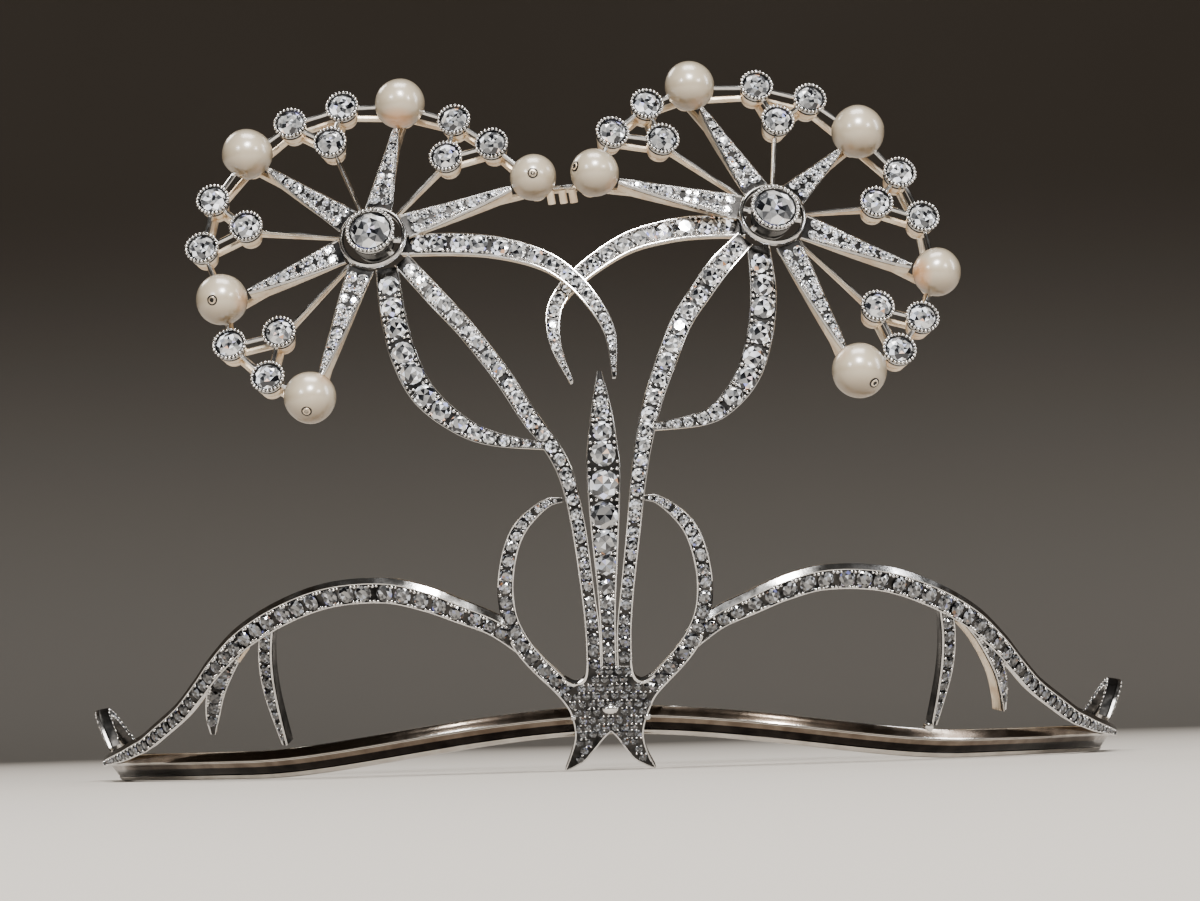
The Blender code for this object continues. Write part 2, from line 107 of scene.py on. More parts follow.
# Strips
STRIP_DEPTH = 1.8
ROD_SIDES = 8
STEP = 0.5
RIM = 0.17
RIM_BEVEL = 0.07
BED_SUNK = 0.16
SILVER_WALL = 0.62
BACK_TAPER = 0.72
GROOVE = 0.2
BEAD = 0.54
WALL_FLARE = 0.55
KNOT_PITCH = 1.2
KNOT_BEAD = 0.36
ARCH_JOINED = 3.2
LEAF_JOINED = (15.2, 22.4)
LEAFLET_TWIST = {"left": 36, "right": 20}

# Stones: they lean by turns along a strip, and carry painted shade, darker from the upper of two heights
# down to the lower
SMALLEST_STONE = 0.36
STONE_TABLE = 0.155
TILT = 0.13
TILT_RATES = (37.7, 23.1)
SHADED_HEIGHTS = (10.0, 56.0)
LOW_SHADE = 0.14
# Strength of the stones' painted sparkle, a glow on a few facets
PAINTED_SPARKLE_STRENGTH = 1.6

# Flower metalwork
COLLET_SIZES = ("front", "outer", "foot", "depth", "stone", "back", "sides", "grain", "grains")
COLLET = dict(zip(COLLET_SIZES, (0.4, 2.25, 1.5, 3.9, 1.72, "gold", 32, 0.46, 25)))
# The hub collet's walls take the near-black bed finish: painted shade on its deep sides
HUB = dict(zip(COLLET_SIZES, (3.8, 3.25, 2.5, 4.6, 2.6, "bed", 48, 0.5, 36)))
COLLET_WALL = (  # (inset, height over the foot, or under the front if negative, finish)
    (0.02, 0.7, "back"),
    (0.16, 0.85, "back"),
    (0.16, 1.6, "back"),
    (0.0, 1.75, "back"),
    (0.0, -1.2, "back"),
    (0.12, -1.1, "bed"),
    (0.12, -0.85, "bed"),
    (0.0, -0.72, "silver"),
)
COLLET_GALLERY = 0.95
RING = {"middle": 4.2, "wire": 0.34, "level": 1.6, "rise": 0.55}
SPOKE_START = 4.5
SPOKE_LIFT = 1.3
SPOKE_DEPTH = {"hub": 1.4, "tip": 3.0}
# Along a spoke: (share of the way, width, share of the lift)
SPOKE = ((0, 3.7, 1), (0.3, 2.9, 0.6), (0.62, 1.9, 0.2), (0.88, 1.1, 0), (1, 0.5, -0.1))
BRIDGE_REACH = (2.4, 4.1)
PEARL_PIN = (  # (radius, height, finish)
    (0, -0.3, "bed"),
    (0.74, -0.3, "bed"),
    (0.7, 0.0, "bed"),
    (0.52, 0.03, "bed"),
    (0.46, 0.1, "gold"),
    (0.3, 0.12, "gold"),
    (0.24, 0.02, "bed"),
    (0, 0.02, "bed"),
)
PEARL_SEAT = 0.25
LINK_TABS = (-1.9, -0.2, 1.2)
# Where each pearl's painted warm reflection of the gold begins, by how squarely it faces its setting
PAINTED_GOLD_REFLECTION_START = {"left": (0.95, 0.72, 0.95, 0.85, 0.9), "right": (0.92, 0.95, 0.7, 0.9, 0.9)}

# Every strip below: (across or x, height or z, width, out)
ARCH = (
    (10.9, 12.2, 2, -0.9),
    (12.3, 13.6, 2.2, -0.9),
    (14.4, 15.3, 2.3, -0.65),
    (17.9, 17.3, 2.5, -0.3),
    (22, 19.6, 2.7, 0),
    (27, 21.5, 2.8, 0),
    (34, 22.1, 2.8, 0),
    (41, 20.9, 2.8, 0),
    (48, 18.4, 2.7, 0),
    (54, 15, 2.4, 0),
    (58.5, 12, 2.2, 0),
    (64.5, 8.7, 2.1, 0),
    (74, 5.4, 2, 0),
    (79, 4.4, 1.8, -0.1),
    (86, 3.4, 1.5, -0.1),
    (97, 2.5, 0.8, -0.1),
)
DROP = (
    (43.6, 20.4, 1.8, -0.3),
    (45.3, 16, 2.1, -0.3),
    (46.6, 11, 1.9, -1),
    (47.3, 4.2, 0.8, -2.2),
)
LEAFLET = (
    (47.6, 18.4, 1.6, -0.5),
    (51.2, 16.3, 2.5, -0.8),
    (55.8, 12.1, 2.5, -1.1),
    (58.2, 8.6, 1.9, -1.2),
    (59.2, 6.2, 0.7, -1.2),
)
END_SCROLL = (
    (107, 4.5, 1, -2.8),
    (110.5, 7.4, 1.8, -2.8),
    (116, 9.4, 2.2, -2.8),
    (122, 8.9, 2.2, -2.8),
    (127, 6.6, 1.8, -2.8),
    (130.5, 4.5, 1, -2.8),
)
INNER_LEAF = (
    (5.2, 35.2, 0.6, 0),
    (7.4, 34.8, 1.2, 0),
    (10.4, 32.3, 1.8, 0),
    (12.1, 29.2, 2, 0),
    (13, 24.6, 2.1, 0),
    (12.7, 20.4, 2.2, 0),
    (11.3, 16.9, 2.4, 0),
    (9.1, 14, 2.4, 0),
    (5.8, 10.7, 2.3, 0),
    (4, 9, 2, 0),
)
SPEAR = (
    (0.1, 52, 0.6, 0.3),
    (0.2, 47, 2.6, 0.3),
    (0.2, 42, 4, 0.3),
    (0.2, 38.6, 4.4, 0.3),
    (0.2, 33, 3.9, 0.3),
    (0.2, 28, 3.2, 0.3),
    (0.2, 22, 2.3, 0.3),
    (0.2, 17, 2, 0.2),
    (0.2, 12.4, 2, 0),
)

# Pins and rivets of the knot: (across, height, out, radius, rise, height to width)
KNOT_PINS = (
    (0.2, 3.3, 0.2, 1.15, 0.7, 0.64),
    (4.95, 2.3, 0.1, 0.5, 0.5, 1),
    (-4.6, 2.4, 0.1, 0.42, 0.4, 1),
)
PIN_CLEAR = (1.3, 0.5)

# Knot and its two tails: (height, left edge, right edge, out)
KNOT = (
    (8.7, -2.55, 2.95, -0.55),
    (7.8, -2.65, 3.1, -0.3),
    (7, -3, 3.5, 0),
    (6.4, -4.2, 4.4, 0.1),
    (5.6, -5.7, 5.6, 0.1),
    (5, -6.1, 5.9, 0.15),
    (4.2, -5.5, 5.7, 0.2),
    (3.3, -4.95, 5.2, 0.2),
    (2.4, -4.7, 4.8, 0.2),
    (1.4, -4.5, 4.5, 0.2),
    (0.2, -4.4, 4.3, 0.2),
)
LEFT_TAIL = (
    (0.6, -4.45, 0.1, 0.18),
    (-0.4, -4.4, -0.75, 0.22),
    (-1.5, -4.65, -1.7, 0.22),
    (-2.4, -5.1, -2.5, 0.22),
    (-3.5, -5.55, -3.6, 0.22),
    (-4.4, -6, -5.7, 0.22),
)
RIGHT_TAIL = (
    (0.6, 0.3, 4.35, 0.18),
    (-0.4, 1.1, 4.3, 0.22),
    (-1.5, 1.8, 4.5, 0.22),
    (-2.4, 2.5, 4.85, 0.22),
    (-3.5, 3.5, 5.3, 0.22),
    (-4.4, 5.7, 6, 0.22),
)
KNOT_EDGES = (  # (across, height, width, out)
    ((-9.4, 8.8, 0.24, -0.42), (-7.9, 7.2, 0.26, -0.2), (-6.2, 5.2, 0.28, 0.22), (-5, 3.3, 0.28, 0.3),
     (-4.5, 1.4, 0.26, 0.3), (-4.45, -0.4, 0.26, 0.3), (-5.1, -2.4, 0.24, 0.3), (-6, -4.4, 0.2, 0.3)),
    ((9.4, 8.8, 0.24, -0.42), (7.9, 7.2, 0.26, -0.2), (6, 5, 0.28, 0.22), (5.2, 3.3, 0.28, 0.3),
     (4.55, 1.4, 0.26, 0.3), (4.35, -0.4, 0.26, 0.3), (4.9, -2.4, 0.24, 0.3), (6, -4.4, 0.2, 0.3)),
    ((0.2, 0.4, 0.24, 0.3), (-0.8, -0.5, 0.26, 0.3), (-2.5, -2.4, 0.26, 0.3), (-3.7, -3.5, 0.24, 0.3),
     (-6, -4.45, 0.2, 0.3)),
    ((0.2, 0.4, 0.24, 0.3), (1.1, -0.5, 0.26, 0.3), (2.5, -2.4, 0.26, 0.3), (3.6, -3.5, 0.24, 0.3),
     (6, -4.45, 0.2, 0.3)),
    ((-2.5, 9.6, 0.3, -0.7), (-2.65, 7.9, 0.4, -0.2), (-3.1, 6.95, 0.5, 0.1), (-4.3, 6.5, 0.5, 0),
     (-5.9, 7.5, 0.4, -0.4)),
    ((2.95, 9.6, 0.3, -0.7), (3.1, 7.9, 0.4, -0.2), (3.6, 6.95, 0.5, 0.1), (4.6, 6.7, 0.5, 0),
     (6, 7.6, 0.4, -0.4)),
)
LEFT_SPRAY = {
    "centre": (-29.1, 70.3),
    "yaw": -6.5,
    "stem": (
        (-25.6, 67.9, 2.4, 1.4),
        (-21, 62.5, 2.6, 1),
        (-17.2, 58.1, 2.5, 0.4),
        (-12.6, 51.8, 2.4, 0),
        (-9.2, 46.2, 2.3, 0),
        (-6.4, 42.2, 2.1, 0),
        (-4.5, 38, 2, 0),
        (-3.2, 31.5, 1.9, 0),
        (-2.3, 23.5, 1.8, 0),
        (-1.8, 18, 1.95, 0),
        (-1.75, 12.6, 1.95, 0),
    ),
    "crescent": (
        (-25.6, 70.1, 2.8, 1.5),
        (-19, 69.9, 3, 2),
        (-13.3, 69.2, 2.9, 2.4),
        (-7.7, 67.5, 2.6, 2.6),
        (-4, 65.2, 2.3, 2.6),
        (-0.8, 61.6, 2, 2.6),
        (1.6, 57, 1.5, 2.2),
        (2, 51, 0.5, 1.6),
    ),
    "loop": (
        (-27.6, 66.9, 3, 1.5),
        (-26.8, 60.4, 3.4, 0.8),
        (-25.4, 54.6, 3.5, 0.2),
        (-22.8, 49.5, 3.3, 0),
        (-18.3, 45.5, 2.6, 0),
        (-13.9, 43.5, 1.9, 0),
        (-7.2, 42.3, 0.9, 0),
    ),
    "pearls": (  # (angle, radius, diameter)
        (141, 23.1, 6.9),
        (83, 21.4, 6.8),
        (23, 22.8, 6.2),
        (200, 21.5, 6.9),
        (251, 23.6, 6.9),
    ),
    "bridges": (-6, -42, 135),
    "pins": ((2, 0, 0.05), (3, -0.29, -0.12), (4, -0.09, -0.59)),  # (its pearl, right, up)
    # Triads: (first angle, radius, its pearl, second angle, radius, its pearl, inner angle, radius)
    "triads": (
        (123, 22.5, 0, 104, 21.7, 1, 113, 17),
        (61, 20.8, 1, 43, 20.9, 2, 54, 15.6),
        (161, 23.5, 0, 179, 23.3, 3, 169, 17.8),
        (217, 23.5, 3, 235, 23.4, 4, 226, 17.6),
    ),
}
RIGHT_SPRAY = {
    "centre": (23.3, 71.7),
    "yaw": 10,
    "stem": (
        (19.9, 69.3, 2.6, 1.8),
        (16.3, 65.6, 3, 1.4),
        (13.9, 62.4, 2.9, 0.8),
        (11.1, 58.3, 2.8, 0.2),
        (8.7, 52.6, 2.7, 0),
        (7, 47.9, 2.5, 0),
        (5.7, 43, 2.3, 0),
        (4.8, 38, 2.1, 0),
        (3.9, 31, 1.9, 0),
        (2.9, 23.5, 1.8, 0),
        (2.3, 18, 1.95, 0),
        (2.25, 12.6, 1.95, 0),
    ),
    "crescent": (
        (20, 71.1, 2.8, 1.5),
        (15, 71.4, 3.2, 0.8),
        (10, 71, 3.1, 0.2),
        (4.2, 69.4, 2.8, 0),
        (-1.5, 65.7, 2.4, 0),
        (-4.8, 62.2, 2.1, 0),
        (-5.8, 59.2, 1.9, 0),
        (-5.4, 55.3, 1.4, 0),
        (-3.6, 50.8, 0.5, 0),
    ),
    "loop": (
        (21.6, 68.4, 3, 1.6),
        (22, 62.4, 3.5, 0.8),
        (21.5, 57.1, 3.5, 0.2),
        (19.8, 51.5, 3.3, 0),
        (17.1, 47.7, 2.7, 0),
        (13.6, 45.4, 1.9, 0),
        (6.6, 44.4, 0.9, 0),
    ),
    "pearls": (
        (113, 22.5, 6.7),
        (45, 19.2, 7.2),
        (340, 23.1, 6.5),
        (293, 24.2, 7.3),
        (162, 24.1, 6.5),
    ),
    "bridges": (165, 215, 350),
    "pins": ((3, 0.48, -0.54), (4, -0.8, 0.2)),
    "triads": (
        (146, 24.1, 4, 130, 23.2, 0, 137, 18.2),
        (89, 20.6, 0, 68, 20, 1, 80, 15.5),
        (21, 19.8, 1, 1, 20.8, 2, 10, 15),
        (322, 23.9, 2, 308, 24.6, 3, 315, 18.4),
    ),
}
SPRAYS = {"left": LEFT_SPRAY, "right": RIGHT_SPRAY}


# Nodes


class Wire:
    """A socket in a node tree. Arithmetic on it adds Math nodes."""

    def __init__(self, tree, socket=None):
        self.tree = tree
        self.socket = socket

    def node(self, kind, settings=None, sockets=None, out=0):
        """A new node's output: its settings first, then the values or links of its sockets."""
        made = self.tree.nodes.new(kind)
        for key, value in (settings or {}).items():
            if key == "stops":
                set_stops(made.color_ramp, value)
            else:
                setattr(made, key, value)
        for key, value in (sockets or {}).items():
            self.feed(made.inputs[key], value)
        return Wire(self.tree, made.outputs[out])

    def feed(self, socket, value):
        if isinstance(value, Wire):
            self.tree.links.new(value.socket, socket)
        else:
            socket.default_value = value

    def math(self, operation, *values):
        sockets = dict(enumerate(values))
        return self.node("ShaderNodeMath", {"operation": operation}, sockets)

    def mix(self, factor, first, second):
        """Two colours mixed by a factor."""
        sockets = {0: factor, 6: first, 7: second}
        return self.node("ShaderNodeMix", {"data_type": "RGBA"}, sockets, out=2)

    def noise(self, scale, detail):
        place = self.node("ShaderNodeTexCoord", out="Object")
        return self.node("ShaderNodeTexNoise", {}, {"Vector": place, "Scale": scale, "Detail": detail})

    def kept(self, name):
        """A value that the mesh keeps."""
        return self.node("ShaderNodeAttribute", {"attribute_name": name}, out="Fac")

    def rise(self, low, high, first=0.0, last=1.0):
        """A value that goes smoothly from first to last between two heights."""
        place = self.node("ShaderNodeTexCoord", out="Object")
        height = self.node("ShaderNodeSeparateXYZ", {}, {"Vector": place}, out="Z")
        sockets = {0: height, 1: low, 2: high, 3: first, 4: last}
        return self.node("ShaderNodeMapRange", {"interpolation_type": "SMOOTHSTEP"}, sockets)

    def bump(self, strength, distance, height):
        sockets = {"Strength": strength, "Distance": distance, "Height": height}
        return self.node("ShaderNodeBump", {}, sockets)

    def __add__(self, other):
        return self.math("ADD", self, other)

    def __sub__(self, other):
        return self.math("SUBTRACT", self, other)

    def __rsub__(self, other):
        return self.math("SUBTRACT", other, self)

    def __mul__(self, other):
        return self.math("MULTIPLY", self, other)

    __radd__ = __add__
    __rmul__ = __mul__


def set_stops(ramp, stops):
    """Stops of (place, colour) on a colour ramp."""
    while len(ramp.elements) > 1:
        ramp.elements.remove(ramp.elements[-1])
    for k, (place, colour) in enumerate(stops):
        stop = ramp.elements[0] if k == 0 else ramp.elements.new(place)
        stop.position = place
        stop.color = (*colour, 1)


# Finishes


def new_finish(name, **constants):
    """A material, its wiring and its shader, with the shader's constant sockets set."""
    made = bpy.data.materials.new(name)
    made.use_nodes = True
    shader = made.node_tree.nodes["Principled BSDF"]
    for key, value in constants.items():
        shader.inputs[key.replace("_", " ")].default_value = value
    return made, Wire(made.node_tree), shader


def metal_finish(name, worn, clean, roughness, spread):
    """Polished metal whose tone and gloss wander, with hair-fine scratches."""
    made, wire, shader = new_finish(name, Metallic=1.0)
    fine = wire.noise(3200.0, 2.0)
    tone = wire.node("ShaderNodeMapRange", {}, {0: wire.noise(420.0, 5.0), 1: 0.36, 2: 0.62})
    wire.feed(shader.inputs["Base Color"], wire.mix(tone, worn, clean))
    wire.feed(shader.inputs["Roughness"], roughness + spread * (1 - tone) + 0.06 * fine)
    wire.feed(shader.inputs["Normal"], wire.bump(0.12, 0.00004, fine))
    return made


def stone_finish():
    """Cut stone: each facet has its own painted reflection, a share of light from its place in the cut and
    its stone.

    Stones carry painted shade towards the band, where they sit closer and would get less light.
    """
    made, wire, shader = new_finish("cut diamond", Metallic=0.6, IOR=2.417, Emission_Strength=PAINTED_SPARKLE_STRENGTH)
    cut, spark = wire.kept("cut"), wire.kept("spark")
    # Painted shade: lower stones get a darker base colour and a dimmer painted sparkle
    shade = wire.rise(*(height * MM for height in SHADED_HEIGHTS), LOW_SHADE)
    share = wire.math("FRACT", cut + spark * 3.7)
    # Painted reflections: each facet's base colour runs from near black to white by its share
    stops = (
        (0.0, (0.01, 0.011, 0.016)),
        (0.2, (0.05, 0.055, 0.065)),
        (0.4, (0.34, 0.355, 0.38)),
        (0.64, (0.86, 0.88, 0.9)),
        (1.0, (1.0, 0.99, 0.97)),
    )
    body = wire.node("ShaderNodeValToRGB", {"stops": stops}, {"Fac": share})
    wire.feed(shader.inputs["Base Color"], wire.mix(shade, (0.008, 0.008, 0.01, 1), body))
    wire.feed(shader.inputs["Roughness"], 0.03 + 0.1 * share)
    # Painted sparkle: a few facets glow white, blue or orange, though they are no lamps
    chance = wire.math("FRACT", cut * 7.3 + spark * 11.1)
    stops = (
        (0.0, (0.0, 0.0, 0.0)),
        (0.8, (0.0, 0.0, 0.0)),
        (0.83, (0.85, 0.9, 1.0)),
        (0.97, (1.0, 0.98, 0.96)),
        (0.975, (0.3, 0.3, 1.0)),
        (0.986, (0.6, 0.66, 1.0)),
        (0.993, (1.0, 0.5, 0.24)),
        (1.0, (0.3, 0.14, 0.06)),
    )
    painted_sparkle = wire.node("ShaderNodeValToRGB", {"stops": stops}, {"Fac": chance})
    wire.feed(shader.inputs["Emission Color"], wire.mix(shade, (0, 0, 0, 1), painted_sparkle))
    return made


def pearl_finish():
    """Pearl: cream nacre with painted shade towards its edge and its underside, and a painted warm
    reflection of the gold where it meets the metal.
    """
    coat = {"Coat_Weight": 1.0, "Coat_Roughness": 0.25, "Coat_IOR": 2.4}
    made, wire, shader = new_finish("pearl", IOR=1.5, Coat_Tint=(0.99, 0.94, 0.86, 1), **coat)
    # Painted shade: the nacre darkens towards its edge as seen
    edge = wire.node("ShaderNodeLayerWeight", {}, {"Blend": 0.42}, out="Facing")
    cloud = wire.noise(300.0, 4.0)
    nacre = wire.mix(cloud, (0.88, 0.80, 0.66, 1), (0.70, 0.62, 0.48, 1))
    painted_edge_shade = wire.mix(edge, nacre, (0.22, 0.19, 0.15, 1))
    # Painted shade on the pearl's underside
    lower = wire.mix(wire.kept("under"), painted_edge_shade, (0.2, 0.135, 0.06, 1))
    # Painted reflection: a warm gold tint where the pearl faces its setting
    wire.feed(shader.inputs["Base Color"], wire.mix(wire.kept("warmth"), lower, (0.72, 0.36, 0.14, 1)))
    wire.feed(shader.inputs["Roughness"], 0.3 + 0.2 * cloud)
    wire.feed(shader.inputs["Normal"], wire.bump(0.2, 0.0002, cloud))
    return made


def studio_finish():
    """Pale matt floor that darkens to taupe as it rises behind."""
    made, wire, shader = new_finish("studio paper", Roughness=0.9)
    shade = wire.rise(0.0, 0.42) * 0.92 + 0.06 * wire.noise(3.0, 3.0)
    pale, taupe = (0.62, 0.58, 0.53, 1), (0.11, 0.088, 0.068, 1)
    wire.feed(shader.inputs["Base Color"], wire.mix(shade, pale, taupe))
    return made


SILVER = metal_finish("bright silver", (0.66, 0.65, 0.64, 1), (0.93, 0.92, 0.90, 1), 0.08, 0.14)
GRAIN = metal_finish("silver grains", (0.88, 0.87, 0.86, 1), (0.97, 0.96, 0.95, 1), 0.06, 0.06)
GOLD = metal_finish("cream gold back", (0.80, 0.63, 0.45, 1), (0.96, 0.84, 0.67, 1), 0.26, 0.16)
# Near-black silver in the beds between stones, grooves, stone seats and hidden backs: painted shade in
# these recesses
BED_PAINTED_SHADE = metal_finish("silver bed with painted shade", (0.012, 0.012, 0.012, 1), (0.075, 0.072, 0.07, 1), 0.24, 0.2)
BAND = metal_finish("polished band", (0.60, 0.56, 0.51, 1), (0.74, 0.70, 0.65, 1), 0.07, 0.06)
# Painted reflections: the near-black and brown faces of the polished band
BAND_PAINTED_DARK_REFLECTION = metal_finish("band painted dark reflection", (0.012, 0.01, 0.009, 1), (0.03, 0.025, 0.022, 1), 0.1, 0.08)
BAND_PAINTED_BROWN_REFLECTION = metal_finish("band painted brown reflection", (0.16, 0.12, 0.09, 1), (0.26, 0.21, 0.165, 1), 0.1, 0.08)
STONE = stone_finish()
PEARL = pearl_finish()


# Head form and sheet


def band_foot(across):
    """Height of the band's lower edge over the table, at an arc length from the middle."""
    t = min(abs(across) / LIFT_REACH, 1.0)
    return FRONT_LIFT * (1 - t * t * (3 - 2 * t))


def on_form(across, height, out):
    angle = across / FORM_RADIUS
    radius = FORM_RADIUS + LEAN * height + out
    x = radius * sin(angle)
    y = -radius * cos(angle)
    return Vector((x, y, band_foot(across) + height))


def on_sheet(x, z, out):
    rise = (z - SHEET_MIDDLE) / SHEET_CURVE
    back = SHEET_CURVE * (1 - sqrt(1 - rise * rise)) + x * x / (2 * SHEET_SIDE)
    return Vector((x, back - SHEET_FRONT - out, z))


def outward(place, a, b, out):
    """The unit normal of a surface at a place on it."""
    step = 0.05
    across = place(a + step, b, out) - place(a - step, b, out)
    up = place(a, b + step, out) - place(a, b - step, out)
    return across.cross(up).normalized()


def mirrored(rows):
    return tuple((-row[0],) + tuple(row[1:]) for row in rows)


# Meshes


def polar(radius, turn, height=0.0):
    """A place at a turn about the third axis."""
    return Vector((radius * cos(turn), radius * sin(turn), height))


def in_metres(point):
    return point[0] * MM, (point[1] + CENTRE_BACK) * MM, point[2] * MM


def placed(name, data):
    made = bpy.data.objects.new(name, data)
    bpy.context.scene.collection.objects.link(made)
    return made


def face_outwards(mesh):
    work = bmesh.new()
    work.from_mesh(mesh)
    bmesh.ops.recalc_face_normals(work, faces=work.faces)
    work.to_mesh(mesh)
    work.free()


def carry(piece, slot, *nodes):
    """A finished piece rides on the tiara and stands for its solids, which are hidden; its slot is not
    used.
    """
    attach(piece, BODY)
    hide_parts(*nodes)


SLOTS = {"silver": 0, "bed": 1, "gold": 2, "polished": 0, "black": 1, "brown": 2}


class Shapes:
    """What makes one piece: points and faces, each face with its finish, and seats for stones and beads."""

    def __init__(self):
        self.points, self.faces, self.slots = [], [], []
        self.stones, self.beads = [], []

    def add(self, points, faces, slots):
        start = len(self.points)
        self.points += points
        self.faces += [tuple(k + start for k in face) for face in faces]
        self.slots += slots

    def piece(self, name, finishes, sharp=40):
        """A closed mesh, its faces turned outwards and shaded smooth."""
        mesh = bpy.data.meshes.new(name)
        mesh.from_pydata([in_metres(point) for point in self.points], [], self.faces)
        for finish in finishes:
            mesh.materials.append(finish)
        mesh.polygons.foreach_set("material_index", self.slots)
        face_outwards(mesh)
        mesh.shade_smooth()
        mesh.set_sharp_from_angle(angle=radians(sharp))
        return placed(name, mesh)


def bridge(a, b):
    """Faces between two rings of point numbers, with three corners where a ring is one point."""
    pairs = [(k, (k + 1) % len(a)) for k in range(len(a))]
    return [tuple(dict.fromkeys((a[k], a[m], b[m], b[k]))) for k, m in pairs]


def smooth_rows(rows, steps=12):
    """The rows with smooth ones between them."""
    table = np.array(rows, float)
    last = len(table) - 1
    fine = []
    for i in range(last):
        before, a = table[max(i - 1, 0)], table[i]
        b, after = table[i + 1], table[min(i + 2, last)]
        for t in np.arange(steps) / steps:
            curve = 2 * a + (b - before) * t + (2 * before - 5 * a + 4 * b - after) * t**2
            fine.append((curve + (3 * a - before - 3 * b + after) * t**3) / 2)
    fine.append(table[last])
    return np.array(fine)


def stations(rows, place, spacing=STEP):
    """Evenly spaced (point, along, side, normal, width, run) on the smooth line through the rows."""
    fine = smooth_rows(rows)
    points = np.array([place(row[0], row[1], row[3]) for row in fine])
    length = np.concatenate([[0], np.cumsum(np.linalg.norm(np.diff(points, axis=0), axis=1))])
    count = max(2, round(length[-1] / spacing)) + 1
    even = np.linspace(0, length[-1], count)
    rows = np.column_stack([np.interp(even, length, fine[:, k]) for k in range(4)])
    points = [place(row[0], row[1], row[3]) for row in rows]
    made = []
    for i, row in enumerate(rows):
        along = (points[min(i + 1, count - 1)] - points[max(i - 1, 0)]).normalized()
        normal = outward(place, row[0], row[1], row[3])
        side = along.cross(normal).normalized()
        normal = side.cross(along).normalized()
        made.append((points[i], along, side, normal, row[2], even[i]))
    return made


def strip_section(half, depth, wall, flare, rimless, back):
    """Half a strip's section from the middle of its bed to the middle of its back: (side, lift, finish)."""
    rim = min(RIM, half * 0.3)
    bevel = min(RIM_BEVEL, rim * 0.3)
    sunk = min(BED_SUNK, half * 0.3)
    split = min(wall, depth * 0.85)
    crest, edge = (-sunk, "bed") if rimless else (0.0, "silver")
    shoulder = half + flare
    waist = shoulder * (1 - (1 - BACK_TAPER) * split / depth)
    foot = half * BACK_TAPER
    groove = min(GROOVE, max(GROOVE * 0.1, (depth - bevel - split - 0.1) * 0.5))
    low = -split - flare
    return (
        (0.0, -sunk * 0.75, "bed"),
        (half - rim - bevel * 2, -sunk, "bed"),
        (half - rim, crest, edge),
        (half - bevel, crest, edge),
        (shoulder, crest - bevel - flare, edge),
        (waist, low, "silver"),
        (waist - groove * 0.4, low - 0.02, "bed"),
        (waist - groove * 0.4, low - 0.02 - groove, "bed"),
        (waist * 0.985, low - 0.05 - groove, back),
        (foot, -depth + bevel, back),
        (foot - bevel, -depth, back),
        (0.0, -depth, back),
    )


def add_loft(shapes, rings, names, cap="silver"):
    """A closed shape through rings of points. Each ring after the first names its faces' finishes."""
    count = len(rings[0])
    numbers = [range(count * i, count * (i + 1)) for i in range(len(rings))]
    faces, slots = [tuple(numbers[0]), tuple(numbers[-1])], [SLOTS[cap]] * 2
    for a, b, finishes in zip(numbers, numbers[1:], names[1:]):
        faces += bridge(a, b)
        slots += [SLOTS[finish] for finish in finishes]
    shapes.add([point for ring in rings for point in ring], faces, slots)


def add_strip(
    shapes, line, depth=STRIP_DEPTH, end_depth=None, wall=SILVER_WALL, flare=(0, 0), joined=(), back="gold",
    bright_end=0
):
    """A strip's metal: bright rims round a dark bed, silver walls over a gold back.

    Where it is joined, (side, first run, last run), the strip has no rim on that side.
    Over its bright end the bed is silver too.
    """
    depths = np.linspace(depth, end_depth or depth, len(line))
    rings, names = [], []
    for (point, _, side, normal, width, run), deep in zip(line, depths):
        halves = []
        for sign, lean in ((1, flare[0]), (-1, flare[1])):
            rimless = any(sign == at and first < run < last for at, first, last in joined)
            halves.append(strip_section(width / 2, deep, wall, lean, rimless, back))
        plus, minus = halves
        section = [(a, lift) for a, lift, _ in plus] + [(-a, lift) for a, lift, _ in minus[-2:0:-1]]
        rings.append([point + side * a + normal * lift for a, lift in section])
        ring_names = [name for _, _, name in plus[1:]] + [name for _, _, name in minus[:0:-1]]
        if run > line[-1][5] - bright_end:
            ring_names = ["silver" if name == "bed" else name for name in ring_names]
        names.append(ring_names)
    add_loft(shapes, rings, names)


def add_ribbon(shapes, line, depth):
    """A narrow rounded silver edge along a line."""
    half = ((0.35, -0.02), (0.5, -0.12), (0.5, -1.0))
    section = ((0, 0.0), *half, *((-a, lift) for a, lift in half[::-1]))
    rings = []
    for point, _, side, normal, width, _ in line:
        rings.append([point + side * (a * width) + normal * (lift * depth) for a, lift in section])
    add_loft(shapes, rings, [["silver"] * len(section)] * len(rings))


def twisted(line, turn):
    """The stations of a line with the strip turned about its own length."""
    made = []
    for point, along, side, normal, width, run in line:
        new_side = side * cos(radians(turn)) + normal * sin(radians(turn))
        made.append((point, along, new_side, new_side.cross(along), width, run))
    return made


def turned_over(line, depth):
    """The stations of a strip's back."""
    return [(p - n * depth, along, -side, -n, w * BACK_TAPER, r) for p, along, side, n, w, r in line]


def add_turned(shapes, profile, sides, frame, closed=False):
    """A profile of (radius, height, finish) turned about a frame's third axis."""
    points, faces, slots, rings = [], [], [], []
    for radius, height, _ in profile:
        first = len(points)
        count = sides if radius else 1
        rings.append(range(first, first + sides) if radius else [first] * sides)
        points += [frame @ polar(radius, 2 * pi * k / sides, height) for k in range(count)]
    pairs = list(zip(rings, rings[1:], profile[1:]))
    if closed:
        pairs.append((rings[-1], rings[0], profile[0]))
    for a, b, row in pairs:
        faces += bridge(a, b)
        slots += [SLOTS[row[2]]] * sides
    shapes.add(points, faces, slots)


